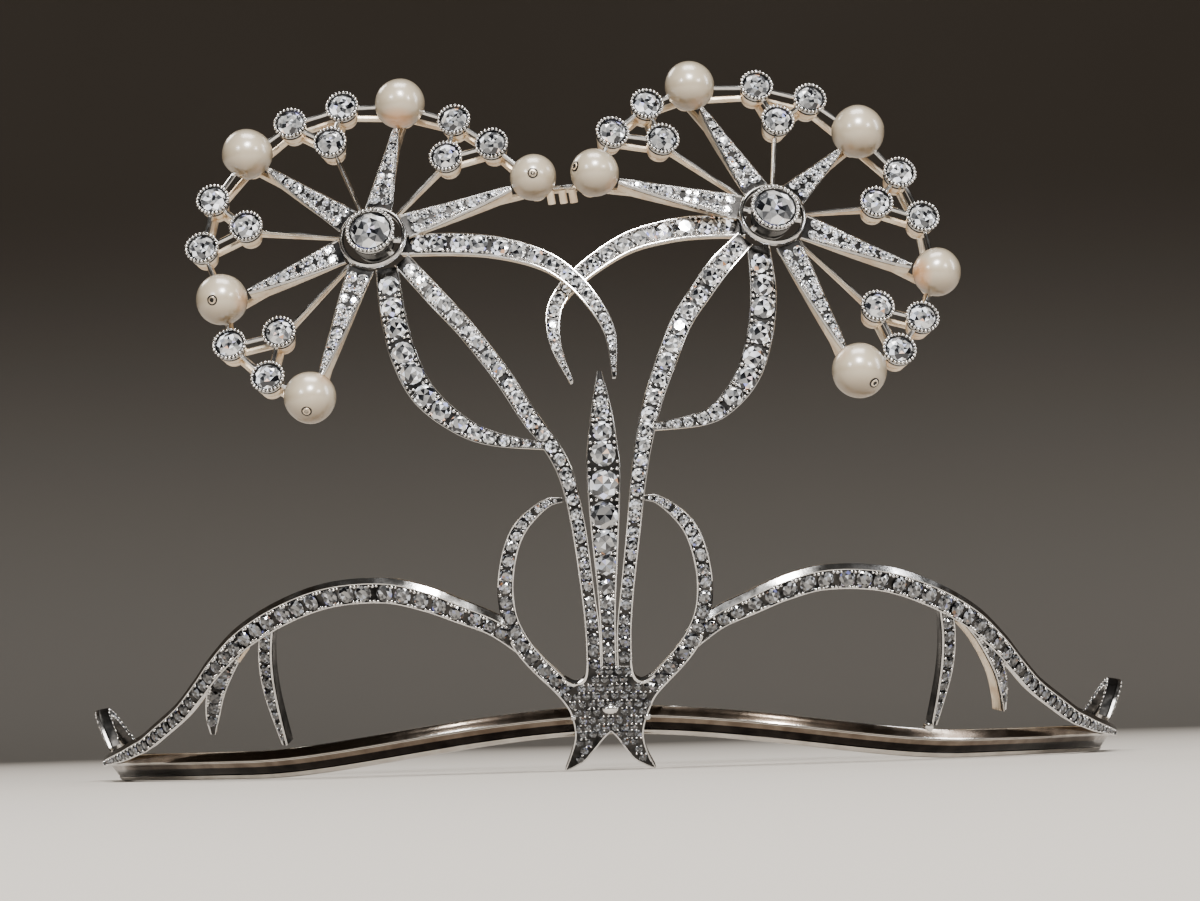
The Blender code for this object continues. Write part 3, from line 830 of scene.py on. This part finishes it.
def add_rod(shapes, start, end, front, width, depth, finish, end_depth=None):
    """A rounded rod between two points, its front at their level, its depth changing evenly."""
    along = (end - start).normalized()
    side = along.cross(front).normalized()
    top = side.cross(along).normalized()
    turns = [2 * pi * (k + 0.5) / ROD_SIDES for k in range(ROD_SIDES)]
    rings = []
    for point, deep in ((start, depth), (end, end_depth or depth)):
        rings.append([point + side * (cos(t) * width / 2) + top * ((sin(t) - 1) * deep / 2) for t in turns])
    add_loft(shapes, rings, [[finish] * ROD_SIDES] * 2, cap=finish)


# Setting by Geometry Nodes


def setting_tree():
    """Sets a piece on every place, turned and sized as the place says, with its own spark."""
    tree = bpy.data.node_groups.new("Set on places", "GeometryNodeTree")
    kinds = {"Places": "Geometry", "Piece": "Object", "Seed": "Int", "Finish": "Material"}
    for name, kind in kinds.items():
        tree.interface.new_socket(name, in_out="INPUT", socket_type=f"NodeSocket{kind}")
    tree.interface.new_socket("Set pieces", in_out="OUTPUT", socket_type="NodeSocketGeometry")
    given = tree.nodes.new("NodeGroupInput")
    wire = Wire(tree)
    inputs = {name: Wire(tree, given.outputs[name]) for name in kinds}
    piece = wire.node("GeometryNodeObjectInfo", {}, {"Object": inputs["Piece"]}, out="Geometry")
    named = "GeometryNodeInputNamedAttribute"
    turn = wire.node(named, {"data_type": "FLOAT_VECTOR"}, {"Name": "turn"}, out="Attribute")
    size = wire.node(named, {"data_type": "FLOAT"}, {"Name": "size"}, out="Attribute")
    turned = wire.node("FunctionNodeEulerToRotation", {}, {0: turn})
    places = {"Points": inputs["Places"], "Instance": piece, "Rotation": turned, "Scale": size}
    copies = wire.node("GeometryNodeInstanceOnPoints", {}, places)
    seed = {"Seed": inputs["Seed"]}
    chance = wire.node("FunctionNodeRandomValue", {"data_type": "FLOAT"}, seed, out=1)
    kept = {"data_type": "FLOAT", "domain": "INSTANCE"}
    spark = {"Geometry": copies, "Name": "spark", "Value": chance}
    copies = wire.node("GeometryNodeStoreNamedAttribute", kept, spark)
    solid = wire.node("GeometryNodeRealizeInstances", {}, {"Geometry": copies})
    finish = {"Geometry": solid, "Material": inputs["Finish"]}
    solid = wire.node("GeometryNodeSetMaterial", {}, finish)
    tree.links.new(solid.socket, tree.nodes.new("NodeGroupOutput").inputs[0])
    return tree


SETTING = setting_tree()


def seat(point, turn, size):
    """A place for a piece, with a turn of three columns: (point, angles, size)."""
    return point, turn.to_euler(), size


def seat_in(frame, size):
    return seat(frame.translation, frame.to_3x3(), size)


def set_pieces(name, seats, piece, finish, seed=1):
    """One mesh of copies of a piece, set on the seats."""
    mesh = bpy.data.meshes.new(name)
    mesh.from_pydata([in_metres(point) for point, _, _ in seats], [], [])
    turn = mesh.attributes.new("turn", "FLOAT_VECTOR", "POINT")
    turn.data.foreach_set("vector", [angle for _, angles, _ in seats for angle in angles])
    size = mesh.attributes.new("size", "FLOAT", "POINT")
    size.data.foreach_set("value", [s * MM for _, _, s in seats])
    made = placed(name, mesh)
    setter = made.modifiers.new("setting", "NODES")
    setter.node_group = SETTING
    values = {"Piece": piece, "Seed": seed, "Finish": finish}
    for item in SETTING.interface.items_tree:
        if item.in_out == "INPUT" and item.name in values:
            setter[item.identifier] = values[item.name]
    graph = bpy.context.evaluated_depsgraph_get()
    whole = bpy.data.meshes.new_from_object(
        made.evaluated_get(graph), preserve_all_data_layers=True, depsgraph=graph
    )
    made.modifiers.remove(setter)
    made.data = whole
    bpy.data.meshes.remove(mesh)
    whole.name = name
    return made


def brilliant(name, table_ring):
    """A round stone of diameter 1: table, stars, kites, girdle facets and pavilion, each facet with its
    random share of painted reflection.
    """
    rings = [  # (count, first angle, radius, height)
        (8, 0.0, 0.29, STONE_TABLE),
        (8, 22.5, 0.4, 0.085),
        (16, 0.0, 0.5, 0.0),
        (8, 22.5, 0.15, STONE_TABLE),
    ]
    points, firsts = [(0, 0, STONE_TABLE), (0, 0, -0.4)], []
    for count, angle, radius, height in rings if table_ring else rings[:3]:
        firsts.append(len(points))
        points += [polar(radius, radians(angle + 360 * k / count), height) for k in range(count)]
    t, c, g = firsts[:3]
    faces = []
    for k in range(8):
        m, j = (k + 1) % 8, (k - 1) % 8
        if table_ring:
            i = firsts[3]
            faces += [(0, i + k, i + m), (i + k, t + k, t + m), (i + k, t + m, i + m)]
        else:
            faces.append((0, t + k, t + m))
        before, after = g + 2 * k, g + (2 * k + 2) % 16
        faces += [(t + k, c + k, t + m), (t + k, c + j, before, c + k)]
        faces += [(c + k, before, before + 1), (c + k, before + 1, after), (1, after, before + 1, before)]
    mesh = bpy.data.meshes.new(name)
    mesh.from_pydata(points, [], faces)
    face_outwards(mesh)
    share = mesh.attributes.new("cut", "FLOAT", "FACE")
    share.data.foreach_set("value", np.random.default_rng(7).random(len(faces)).tolist())
    return placed(name, mesh)


def bead_pattern():
    """A round bead of diameter 1."""
    mesh = bpy.data.meshes.new("bead pattern")
    work = bmesh.new()
    bmesh.ops.create_uvsphere(work, u_segments=8, v_segments=5, radius=0.5)
    work.to_mesh(mesh)
    work.free()
    mesh.shade_smooth()
    return placed("bead pattern", mesh)


SMALL_STONE = brilliant("small stone pattern", table_ring=False)
LARGE_STONE = brilliant("large stone pattern", table_ring=True)
BEAD_PATTERN = bead_pattern()


def fill_strip(shapes, line, gap=0.12, fill=0.96, ends=(0.8, 0.8), pair_width=9.0):
    """Stones along a strip with beads between them. From the pair width on, two stones lie abreast."""
    runs = np.array([row[5] for row in line])
    widths = np.array([row[4] for row in line])
    run, before = ends[0], None
    while run < runs[-1] - ends[1]:
        width = float(np.interp(run, runs, widths))
        abreast = 2 if width > pair_width else 1
        size = (width - 1.7 * min(RIM, width * 0.15)) * fill / abreast
        if size < SMALLEST_STONE:
            run += 0.2
            continue
        middle = run + size / 2
        if middle + size / 2 > runs[-1] - ends[1] * 0.5:
            break
        point, along, side, normal, width, _ = line[int(np.searchsorted(runs, middle))]
        lean = side * sin(TILT_RATES[0] * run) + along * cos(TILT_RATES[1] * run)
        leant = (normal + lean * TILT).normalized()
        leant_side = along.cross(leant).normalized()
        turn = Matrix((leant_side, leant.cross(leant_side), leant)).transposed()
        for shift in (-0.5, 0.5) if abreast == 2 else (0.0,):
            spot = point + side * (size * 1.02 * shift) - normal * 0.03
            shapes.stones.append(seat(spot, turn, size))
        if before is not None:
            shapes.beads += bead_cluster(line, runs, (before + run) / 2, size)
        before = run + size
        run = before + gap


def bead_cluster(line, runs, run, size):
    """Beads in the corners between two neighbouring stones, more of them on a wide strip."""
    point, along, side, normal, width, _ = line[min(int(np.searchsorted(runs, run)), len(line) - 1)]
    bead = min(BEAD, width * 0.22)
    wide = width / 2 - min(RIM, width * 0.15) * 0.8 - bead / 2
    spots = [(wide, 0.0, 1.0)]
    if width > 2.3:
        spots += [(wide * 1.04, size * 0.24, 0.8), (wide * 1.04, -size * 0.24, 0.8)]
    if width > 3.0:
        spots.append((wide * 0.6, 0.0, 0.9))
    turn = Matrix((side, along, normal)).transposed()
    made = []
    for sign in (-1, 1):
        for across, ahead, share in spots:
            spot = point + side * (sign * across) + along * ahead + normal * 0.06
            made.append(seat(spot, turn, bead * share))
    return made


# Band


def make_band():
    rings = []
    for k in range(BAND_STATIONS + 1):
        across = BAND_HALF_LENGTH * (2 * k / BAND_STATIONS - 1)
        turn = across / BAND_RADIUS - pi / 2
        foot = band_foot(across * FORM_RADIUS / BAND_RADIUS)
        section = [(BAND_RADIUS + LEAN * height + out, height) for out, height, _ in BAND_SECTION]
        rings.append([polar(radius, turn, foot + height) for radius, height in section])
    shapes = Shapes()
    add_loft(shapes, rings, [[row[2] for row in BAND_SECTION]] * len(rings), cap="polished")
    carry(shapes.piece("polished_head_band", (BAND, BAND_PAINTED_DARK_REFLECTION, BAND_PAINTED_BROWN_REFLECTION)), "band", "head_band")


# Strips with their stones and beads


def make_strips(node, strips, seed, extra=None):
    """The metal, stones and beads of strips soldered together, each strip (rows, place, options)."""
    shapes = Shapes()
    for rows, place, options in strips:
        line = twisted(stations(rows, place), options.get("twist", 0))
        add_strip(shapes, line, **options.get("metal", {}))
        fill_strip(shapes, line, **options["fill"])
        if options.get("both"):
            fill_strip(shapes, turned_over(line, STRIP_DEPTH), **options["fill"])
    if extra:
        extra(shapes)
    carry(shapes.piece(f"{node}_metal", (SILVER, BED_PAINTED_SHADE, GOLD)), "setting", node)
    carry(set_pieces(f"{node}_stones", shapes.stones, SMALL_STONE, STONE, seed), "diamond", node)
    carry(set_pieces(f"{node}_beads", shapes.beads, BEAD_PATTERN, GRAIN), "setting", node)


def make_scroll(side, sign, seed):
    turn = mirrored if sign < 0 else tuple
    flare = (WALL_FLARE, 0) if sign < 0 else (0, WALL_FLARE)
    arch = {"wall": 1.5, "flare": flare, "joined": ((-sign, -1, ARCH_JOINED),)}
    arch_fill = {"gap": 0.4, "fill": 0.9, "ends": (1.7, 0.8)}
    leaf = {"wall": 1.3, "joined": ((-sign, *LEAF_JOINED),)}
    leaflet = {"twist": LEAFLET_TWIST[side], "metal": {"wall": 0.2}, "fill": {"gap": 0.15}}
    strips = (
        (turn(ARCH), on_form, {"metal": arch, "fill": arch_fill}),
        (turn(DROP), on_form, {"metal": {"wall": 0.25, "back": "bed"}, "fill": {"gap": 0.2}}),
        (turn(LEAFLET), on_form, leaflet),
        (turn(INNER_LEAF), on_sheet, {"metal": leaf, "fill": {"gap": 0.15, "ends": (0.5, 1.8)}}),
    )

    def solder(shapes):
        """The right drop's solder on the band, and the small prong beside the left drop."""
        if sign > 0:
            foot = frame_on_form(DROP[-1][0] - 0.3, 3.9, -2.9)
            profile = in_silver((0, -0.6), (0.8, -0.5), (0.75, 0.0), (0.4, 0.3), (0, 0.36))
            add_turned(shapes, profile, 16, foot)
        else:
            ends = (on_form(-49.9, 15.7, -0.4), on_form(-47.6, 17.5, -0.4))
            add_rod(shapes, *ends, outward(on_form, -48, 16, 0), 0.45, 0.45, "gold")

    make_strips(f"{side}_scroll", strips, seed, extra=solder)
    options = {"metal": {"wall": 0.4, "back": "bed"}, "fill": {"gap": 0.3}, "both": True}
    make_strips(f"{side}_end_scroll", ((turn(END_SCROLL), on_form, options),), seed + 1)


def in_silver(*rows):
    return [(*row, "silver") for row in rows]


def frame_on_form(across, height, out):
    """A frame on the head form, its third axis outwards."""
    normal = outward(on_form, across, height, 0)
    side = Vector((0, 0, 1)).cross(normal).normalized()
    turn = Matrix((side, normal.cross(side), normal)).transposed().to_4x4()
    return Matrix.Translation(on_form(across, height, out)) @ turn


def make_spear():
    """The centre leaf with the knot and its tails."""
    strips = ((SPEAR, on_sheet, {"metal": {"wall": 1.2}, "fill": {"ends": (0.9, 0.6)}}),)
    make_strips("spear_and_knot", strips, 11, extra=dress_knot)


def add_plate(shapes, rows, columns=9):
    """A flat piece on the head form between a left and a right edge, pavé in front and gold behind."""
    rings = []
    for height, left, right, out in smooth_rows(rows, 4):
        front = [on_form(left + (right - left) * k / columns, height, out) for k in range(columns + 1)]
        low = out - STRIP_DEPTH
        rings.append(front + [on_form(across, height, low) for across in (right, (left + right) / 2, left)])
    names = ["bed"] * columns + ["silver", "gold", "gold", "silver"]
    add_loft(shapes, rings, [names] * len(rings))


def pave(shapes, rows):
    """Small stones and beads in a close pattern over a plate, clear of the oval pin."""
    table = np.array(rows)[::-1]
    low, high = table[0, 0], table[-1, 0]
    step = KNOT_PITCH * 0.87
    middle, level = KNOT_PINS[0][:2]
    for row in range(int((high - low) / step)):
        height = high - step * (row + 0.55)
        left, right, out = (float(np.interp(height, table[:, 0], table[:, k])) for k in (1, 2, 3))
        for column in range(-6, 7):
            across = middle + (column + row % 2 / 2) * KNOT_PITCH
            if abs(across - middle) < PIN_CLEAR[0] and abs(height - level) < PIN_CLEAR[1]:
                continue
            if left + KNOT_PITCH * 0.36 < across < right - KNOT_PITCH * 0.36:
                place = frame_on_form(across, height, out - 0.02)
                shapes.stones.append(seat_in(place, KNOT_PITCH * 0.92))
            for lean in (-1, 1):
                spot = across + lean * KNOT_PITCH * 0.25
                if left + 0.3 < spot < right - 0.3 and lean * (column + row) % 3 != 1:
                    place = frame_on_form(spot, height + step * 0.5, out + 0.05)
                    shapes.beads.append(seat_in(place, KNOT_BEAD))


def dress_knot(shapes):
    """The knot's plates, edges and small stones, its oval pin and the rivet at each side."""
    for rows in (KNOT, LEFT_TAIL, RIGHT_TAIL):
        add_plate(shapes, rows)
        pave(shapes, rows)
    for rows in KNOT_EDGES:
        add_ribbon(shapes, stations(rows, on_form), 1.6)
    for across, height, out, radius, rise, squash in KNOT_PINS:
        dome = [(radius * cos(pi / 12 * k), rise * sin(pi / 12 * k)) for k in range(6)]
        place = frame_on_form(across, height, out) @ Matrix.Diagonal((1, squash, 1, 1))
        add_turned(shapes, in_silver((0, -1.2), (radius, -1.2), *dome, (0, rise)), 24, place)


# Flowers


def collet_profile(size):
    """A collet's wall: gold gallery below, silver above, with a tapered seat for its stone."""
    front, outer, foot, back, stone = (size[key] for key in ("front", "outer", "foot", "back", "stone"))
    low = front - size["depth"]
    slope = (outer - foot) / size["depth"]
    wall = []
    for inset, height, finish in COLLET_WALL:
        level = height + (low if height > 0 else front)
        wall.append((foot + slope * (level - low) - inset, level, size.get(finish, finish)))
    return (
        (0, low, back),
        (foot - 0.1, low, back),
        (foot, low + 0.12, back),
        *wall,
        (outer - 0.06, front - 0.3, "silver"),
        (outer - 0.3, front - 0.06, "bed"),
        (stone + 0.22, front - 0.02, "silver"),
        (stone + 0.08, front - 0.15, "bed"),
        (stone * 0.6, front - 1.4, "bed"),
        (0, front - 1.4, "bed"),
    )


def triad_spots(row):
    """The (angle, radius) of a triad's first, second and inner collets."""
    return (row[0], row[1]), (row[3], row[4]), (row[6], row[7])


class Flower:
    """A flower with its middle on the sheet and its third axis along the way that it faces."""

    def __init__(self, side):
        self.side = side
        self.spray = SPRAYS[side]
        lean, yaw = radians(FLOWER_LEAN), radians(self.spray["yaw"])
        self.front = Vector((sin(yaw) * cos(lean), -cos(yaw) * cos(lean), sin(lean)))
        right = Vector((cos(yaw), sin(yaw), 0))
        self.turn = Matrix((right, self.front.cross(right), self.front)).transposed()
        self.middle = on_sheet(*self.spray["centre"], 2.0)

    def at(self, angle, radius, lift):
        return self.middle + self.turn @ polar(radius, radians(angle), lift)

    def frame_at(self, angle=0, radius=0):
        return Matrix.Translation(self.at(angle, radius, 0)) @ self.turn.to_4x4()

    def cup(self, number):
        """The middle of the small cup behind a pearl."""
        angle, radius, diameter = self.spray["pearls"][number]
        return self.at(angle, radius, -diameter / 2 - PEARL_SEAT - 0.5)

    def rod(self, start, end, width, depth, finish, end_depth=None):
        add_rod(self.shapes, start, end, self.front, width, depth, finish, end_depth)

    def collet(self, size, *spot):
        """A collet at a spot with the milgrain beads round its rim."""
        place, grain = self.frame_at(*spot), size["grain"]
        add_turned(self.shapes, collet_profile(size), size["sides"], place)
        for k in range(size["grains"]):
            turn = 2 * pi * k / size["grains"]
            point = place @ polar(size["outer"] - grain * 0.36, turn, size["front"] + 0.04)
            self.shapes.beads.append(seat(point, self.turn, grain))

    def dress(self, shapes):
        """Ring, hub, spokes, wires, collets and pearl cups."""
        self.shapes = shapes
        ring = []
        for k in range(12):
            lift = RING["level"] + RING["rise"] * sin(pi / 6 * k)
            ring.append((RING["middle"] + RING["wire"] * cos(pi / 6 * k), lift, "silver"))
        add_turned(shapes, ring, 56, self.frame_at(), closed=True)
        for angle in self.spray["bridges"]:
            ends = [self.at(angle, reach, RING["level"] + 0.3) for reach in BRIDGE_REACH]
            self.rod(*ends, 0.8, 0.9, "silver")
        self.collet(HUB)
        for number in range(len(self.spray["pearls"])):
            self.add_spoke(number)
        for row in self.spray["triads"]:
            self.add_triad(row)
        for pin in self.spray["pins"]:
            self.add_pearl_pin(*pin)
        if self.side == "left":
            add_link(shapes)

    def add_pearl_pin(self, number, right, up):
        """The pin head in a drilled pearl, right and up of its middle by shares of its radius."""
        angle, radius, diameter = self.spray["pearls"][number]
        way = Vector((right, -sqrt(1 - right * right - up * up), up))
        middle = self.at(angle, radius, 0) + way * (diameter / 2 - 0.05)
        turn = way.to_track_quat("Z", "Y").to_matrix().to_4x4()
        add_turned(self.shapes, PEARL_PIN, 16, Matrix.Translation(middle) @ turn)

    def add_spoke(self, number):
        """A spoke from the ring to its pearl, with the pearl's cup and the rod that carries it."""
        angle, radius, diameter = self.spray["pearls"][number]

        def along_spoke(across, reach, out):
            return self.at(angle - degrees(across / max(reach, 1)), reach, out)

        tip = radius - diameter / 2 - 0.15
        rows = []
        for share, width, lift in SPOKE:
            rows.append((0, SPOKE_START + (tip - SPOKE_START) * share, width, SPOKE_LIFT * lift))
        line = stations(rows, along_spoke)
        add_strip(self.shapes, line, SPOKE_DEPTH["hub"], SPOKE_DEPTH["tip"], bright_end=1.6)
        fill_strip(self.shapes, line, gap=0.1, fill=0.94, ends=(0.3, 1.2), pair_width=2.3)
        back = -diameter / 2 - PEARL_SEAT
        start, end = self.at(angle, tip - 3.2, -1.3), self.at(angle, radius - 1.0, back - 0.05)
        self.rod(start, end, 0.9, 1.5, "gold", end_depth=0.9)
        cup = ((0, back - 0.9, "gold"), (1.3, back - 0.9, "gold"), (1.5, back, "gold"), (0, back, "gold"))
        add_turned(self.shapes, cup, 20, self.frame_at(angle, radius))

    def add_triad(self, row):
        """Three collets with their bars, the knife wire to the ring and the bars to the pearls."""
        spots = triad_spots(row)
        low = COLLET["front"] - COLLET["depth"] + COLLET_GALLERY
        centres = [self.at(*spot, low) for spot in spots]
        for spot in spots:
            self.collet(COLLET, *spot)
        lift = self.front * (COLLET["front"] - 0.35 - low)
        for a, b in ((0, 2), (1, 2), (0, 1)):
            self.rod(centres[a], centres[b], 0.9, 0.9, "gold")
            self.rod(centres[a] + lift, centres[b] + lift, 0.62, 0.6, "silver")
        angle, radius = spots[2]
        start, end = self.at(angle, 4.4, SPOKE_LIFT * 0.6), self.at(angle, radius - 1.6, -0.6)
        self.rod(start, end, 0.5, 0.6, "silver")
        drop = self.front * 0.35
        self.rod(start - drop, end - drop, 0.62, 0.5, "gold", end_depth=1.4)
        lift = self.front * (COLLET["front"] - 0.4 - low)
        for centre, number in zip(centres, (row[2], row[5])):
            self.rod(centre, self.cup(number) + self.front * 0.4, 0.9, 0.8, "gold")
            angle, radius, _ = self.spray["pearls"][number]
            self.rod(centre + lift, self.at(angle, radius, -0.2), 0.6, 0.6, "silver")

    def make_diamonds(self):
        """The hub stone and the collet stones, each its own piece."""
        spots = [spot for row in self.spray["triads"] for spot in triad_spots(row)]
        rows = [(0, 0, HUB, "hub_stone")]
        rows += [(*spot, COLLET, f"collet_stone_{k + 1}") for k, spot in enumerate(spots)]
        for k, (angle, radius, size, node) in enumerate(rows):
            turn = self.turn @ Matrix.Rotation(0.4 * k, 3, "Z")
            seats = [seat(self.at(angle, radius, size["front"] - 0.12), turn, size["stone"] * 2)]
            name = f"{self.side}_{node}".replace("stone", "diamond")
            diamond = set_pieces(name, seats, LARGE_STONE, STONE, seed=20 + k)
            carry(diamond, "diamond", f"{self.side}_{node}")

    def make_pearls(self):
        """Pearls, each slightly out of round, with painted shade underneath and a painted warm reflection
        of the gold where they meet the metal.
        """
        for k, (angle, radius, diameter) in enumerate(self.spray["pearls"]):
            middle = self.at(angle, radius, 0)
            to_spoke = ((self.middle - middle).normalized() + Vector((0, -0.55, -0.45))).normalized()
            work = bmesh.new()
            bmesh.ops.create_uvsphere(work, u_segments=48, v_segments=32, radius=diameter / 2)
            warmth, under = [], []
            for vert in work.verts:
                way = vert.co.normalized()
                vert.co *= 0.99 + noise.noise(way * 0.9 + Vector((k * 3.1, len(self.side), 0))) * 0.03
                if (self.side, k) == ("left", 0):
                    low = max(0.0, -way.z - 0.3)
                    vert.co *= 1 - 0.22 * low * abs(way.x) + 0.03 * low
                # Painted warm reflection of the gold where the pearl faces its setting
                warmth.append(min(0.85, max(0.0, way.dot(to_spoke) - PAINTED_GOLD_REFLECTION_START[self.side][k]) * 3.0))
                # Painted shade on the underside, fading out above the middle
                under.append(min(1.0, max(0.0, 0.18 - way.z) * 0.95))
                vert.co += middle
            work.verts.index_update()
            shapes = Shapes()
            faces = [tuple(vert.index for vert in face.verts) for face in work.faces]
            shapes.add([vert.co.copy() for vert in work.verts], faces, [0] * len(faces))
            work.free()
            pearl = shapes.piece(f"{self.side}_round_pearl_{k + 1}", (PEARL,), sharp=180)
            for name, values in (("warmth", warmth), ("under", under)):
                kept = pearl.data.attributes.new(name, "FLOAT", "POINT")
                kept.data.foreach_set("value", values)
            carry(pearl, "pearl", f"{self.side}_pearl_{k + 1}")


FLOWERS = {side: Flower(side) for side in SPRAYS}


def add_link(shapes):
    """The bar from the left flower's third pearl cup to the right flower's fifth, with its tabs."""
    start, end = FLOWERS["left"].cup(2), FLOWERS["right"].cup(4)
    front = Vector((0, -1, 0))
    way = (end - start).normalized()
    add_rod(shapes, start, end - way * 2.0, front, 0.9, 0.8, "gold")
    middle = (start + end) / 2 + front * 2.6
    add_rod(shapes, middle - way * 1.4, middle + way * 1.2, front, 0.5, 0.5, "silver")
    for shift in LINK_TABS:
        top = middle + way * shift + Vector((0, 0, -0.5))
        add_rod(shapes, top, top + Vector((0.25, 0.6, -1.7)), front, 1.1, 0.7, "gold")


def make_spray(side, seed):
    flower = FLOWERS[side]
    fills = {"stem": {"gap": 0.15, "ends": (0.6, 0.1)}, "crescent": {"gap": 0.22}, "loop": {"gap": 0.25}}
    strips = [(flower.spray[name], on_sheet, {"fill": fill}) for name, fill in fills.items()]
    make_strips(f"{side}_spray", strips, seed, extra=flower.dress)
    flower.make_diamonds()
    flower.make_pearls()


# Studio


def make_studio():
    """A pale floor that rises to a backdrop all round."""
    profile = [(0.4, 0), (1.6, 0)]
    for k in range(1, 13):
        turn = pi / 24 * k
        profile.append((1.6 + 0.8 * sin(turn), 0.8 * (1 - cos(turn))))
    profile.append((2.4, 2.2))
    sides = 64
    points, faces = [], [tuple(range(sides))]
    for radius, height in profile:
        points += [polar(radius, 2 * pi * k / sides, height - 0.0001) for k in range(sides)]
    for i in range(sides, sides * len(profile), sides):
        faces += bridge(range(i, i + sides), range(i - sides, i))
    mesh = bpy.data.meshes.new("studio floor")
    mesh.from_pydata(points, [], faces)
    mesh.materials.append(studio_finish())
    mesh.shade_smooth()
    placed("studio_floor", mesh)


LIGHTS = (  # (name, place, size, watts, colour)
    ("overhead", (0.0, -0.1, 1.1), (0.6, 0.4), 8.0, (1.0, 0.97, 0.93)),
    ("front_high", (0.03, -0.8, 0.7), (0.2, 0.2), 12.0, (1.0, 0.98, 0.95)),
    ("front_left", (-0.6, -0.75, 0.45), (0.07, 0.07), 1.6, (0.96, 0.98, 1.0)),
    ("front_right", (0.62, -0.7, 0.4), (0.07, 0.07), 1.6, (1.0, 0.97, 0.93)),
    ("side_right", (0.9, -0.1, 0.4), (0.1, 0.5), 2.2, (0.95, 0.97, 1.0)),
    ("behind_left", (-0.6, 0.6, 0.7), (0.3, 0.3), 3.0, (1.0, 0.95, 0.88)),
)
AIM = Vector((0.0, 0.0, 0.05))


def make_lights():
    for name, place, size, watts, colour in LIGHTS:
        light = bpy.data.lights.new(name, "AREA")
        light.shape = "RECTANGLE"
        light.size, light.size_y = size
        light.energy = watts
        light.color = colour
        lamp = placed(name, light)
        lamp.location = place
        lamp.rotation_euler = (AIM - Vector(place)).to_track_quat("-Z", "Y").to_euler()
    world = bpy.data.worlds.new("studio air")
    world.use_nodes = True
    world.node_tree.nodes["Background"].inputs["Color"].default_value = (0.5, 0.47, 0.44, 1)
    world.node_tree.nodes["Background"].inputs["Strength"].default_value = 0.07
    bpy.context.scene.world = world


CAMERA_PLACE = (-0.00013, -0.5483, 0.0045)
CAMERA_LENS = 115.4
CAMERA_PITCH = atan(37 / 500)
CAMERA_ROLL = radians(1.75)


def make_camera():
    lens = bpy.data.cameras.new("camera")
    lens.lens = CAMERA_LENS
    lens.sensor_width = 36.0
    lens.clip_start = 0.01
    camera = placed("camera", lens)
    turn = Matrix.Rotation(pi / 2 + CAMERA_PITCH, 4, "X") @ Matrix.Rotation(-CAMERA_ROLL, 4, "Z")
    camera.matrix_world = Matrix.Translation(CAMERA_PLACE) @ turn
    bpy.context.scene.camera = camera


# Assembly

make_band()
make_spear()
for side_name, side_sign, side_seed in (("left", -1, 3), ("right", 1, 5)):
    make_scroll(side_name, side_sign, side_seed)
    make_spray(side_name, side_seed + 40)
for pattern in (SMALL_STONE, LARGE_STONE, BEAD_PATTERN):
    bpy.data.objects.remove(pattern, do_unlink=True)
make_studio()
make_lights()
make_camera()
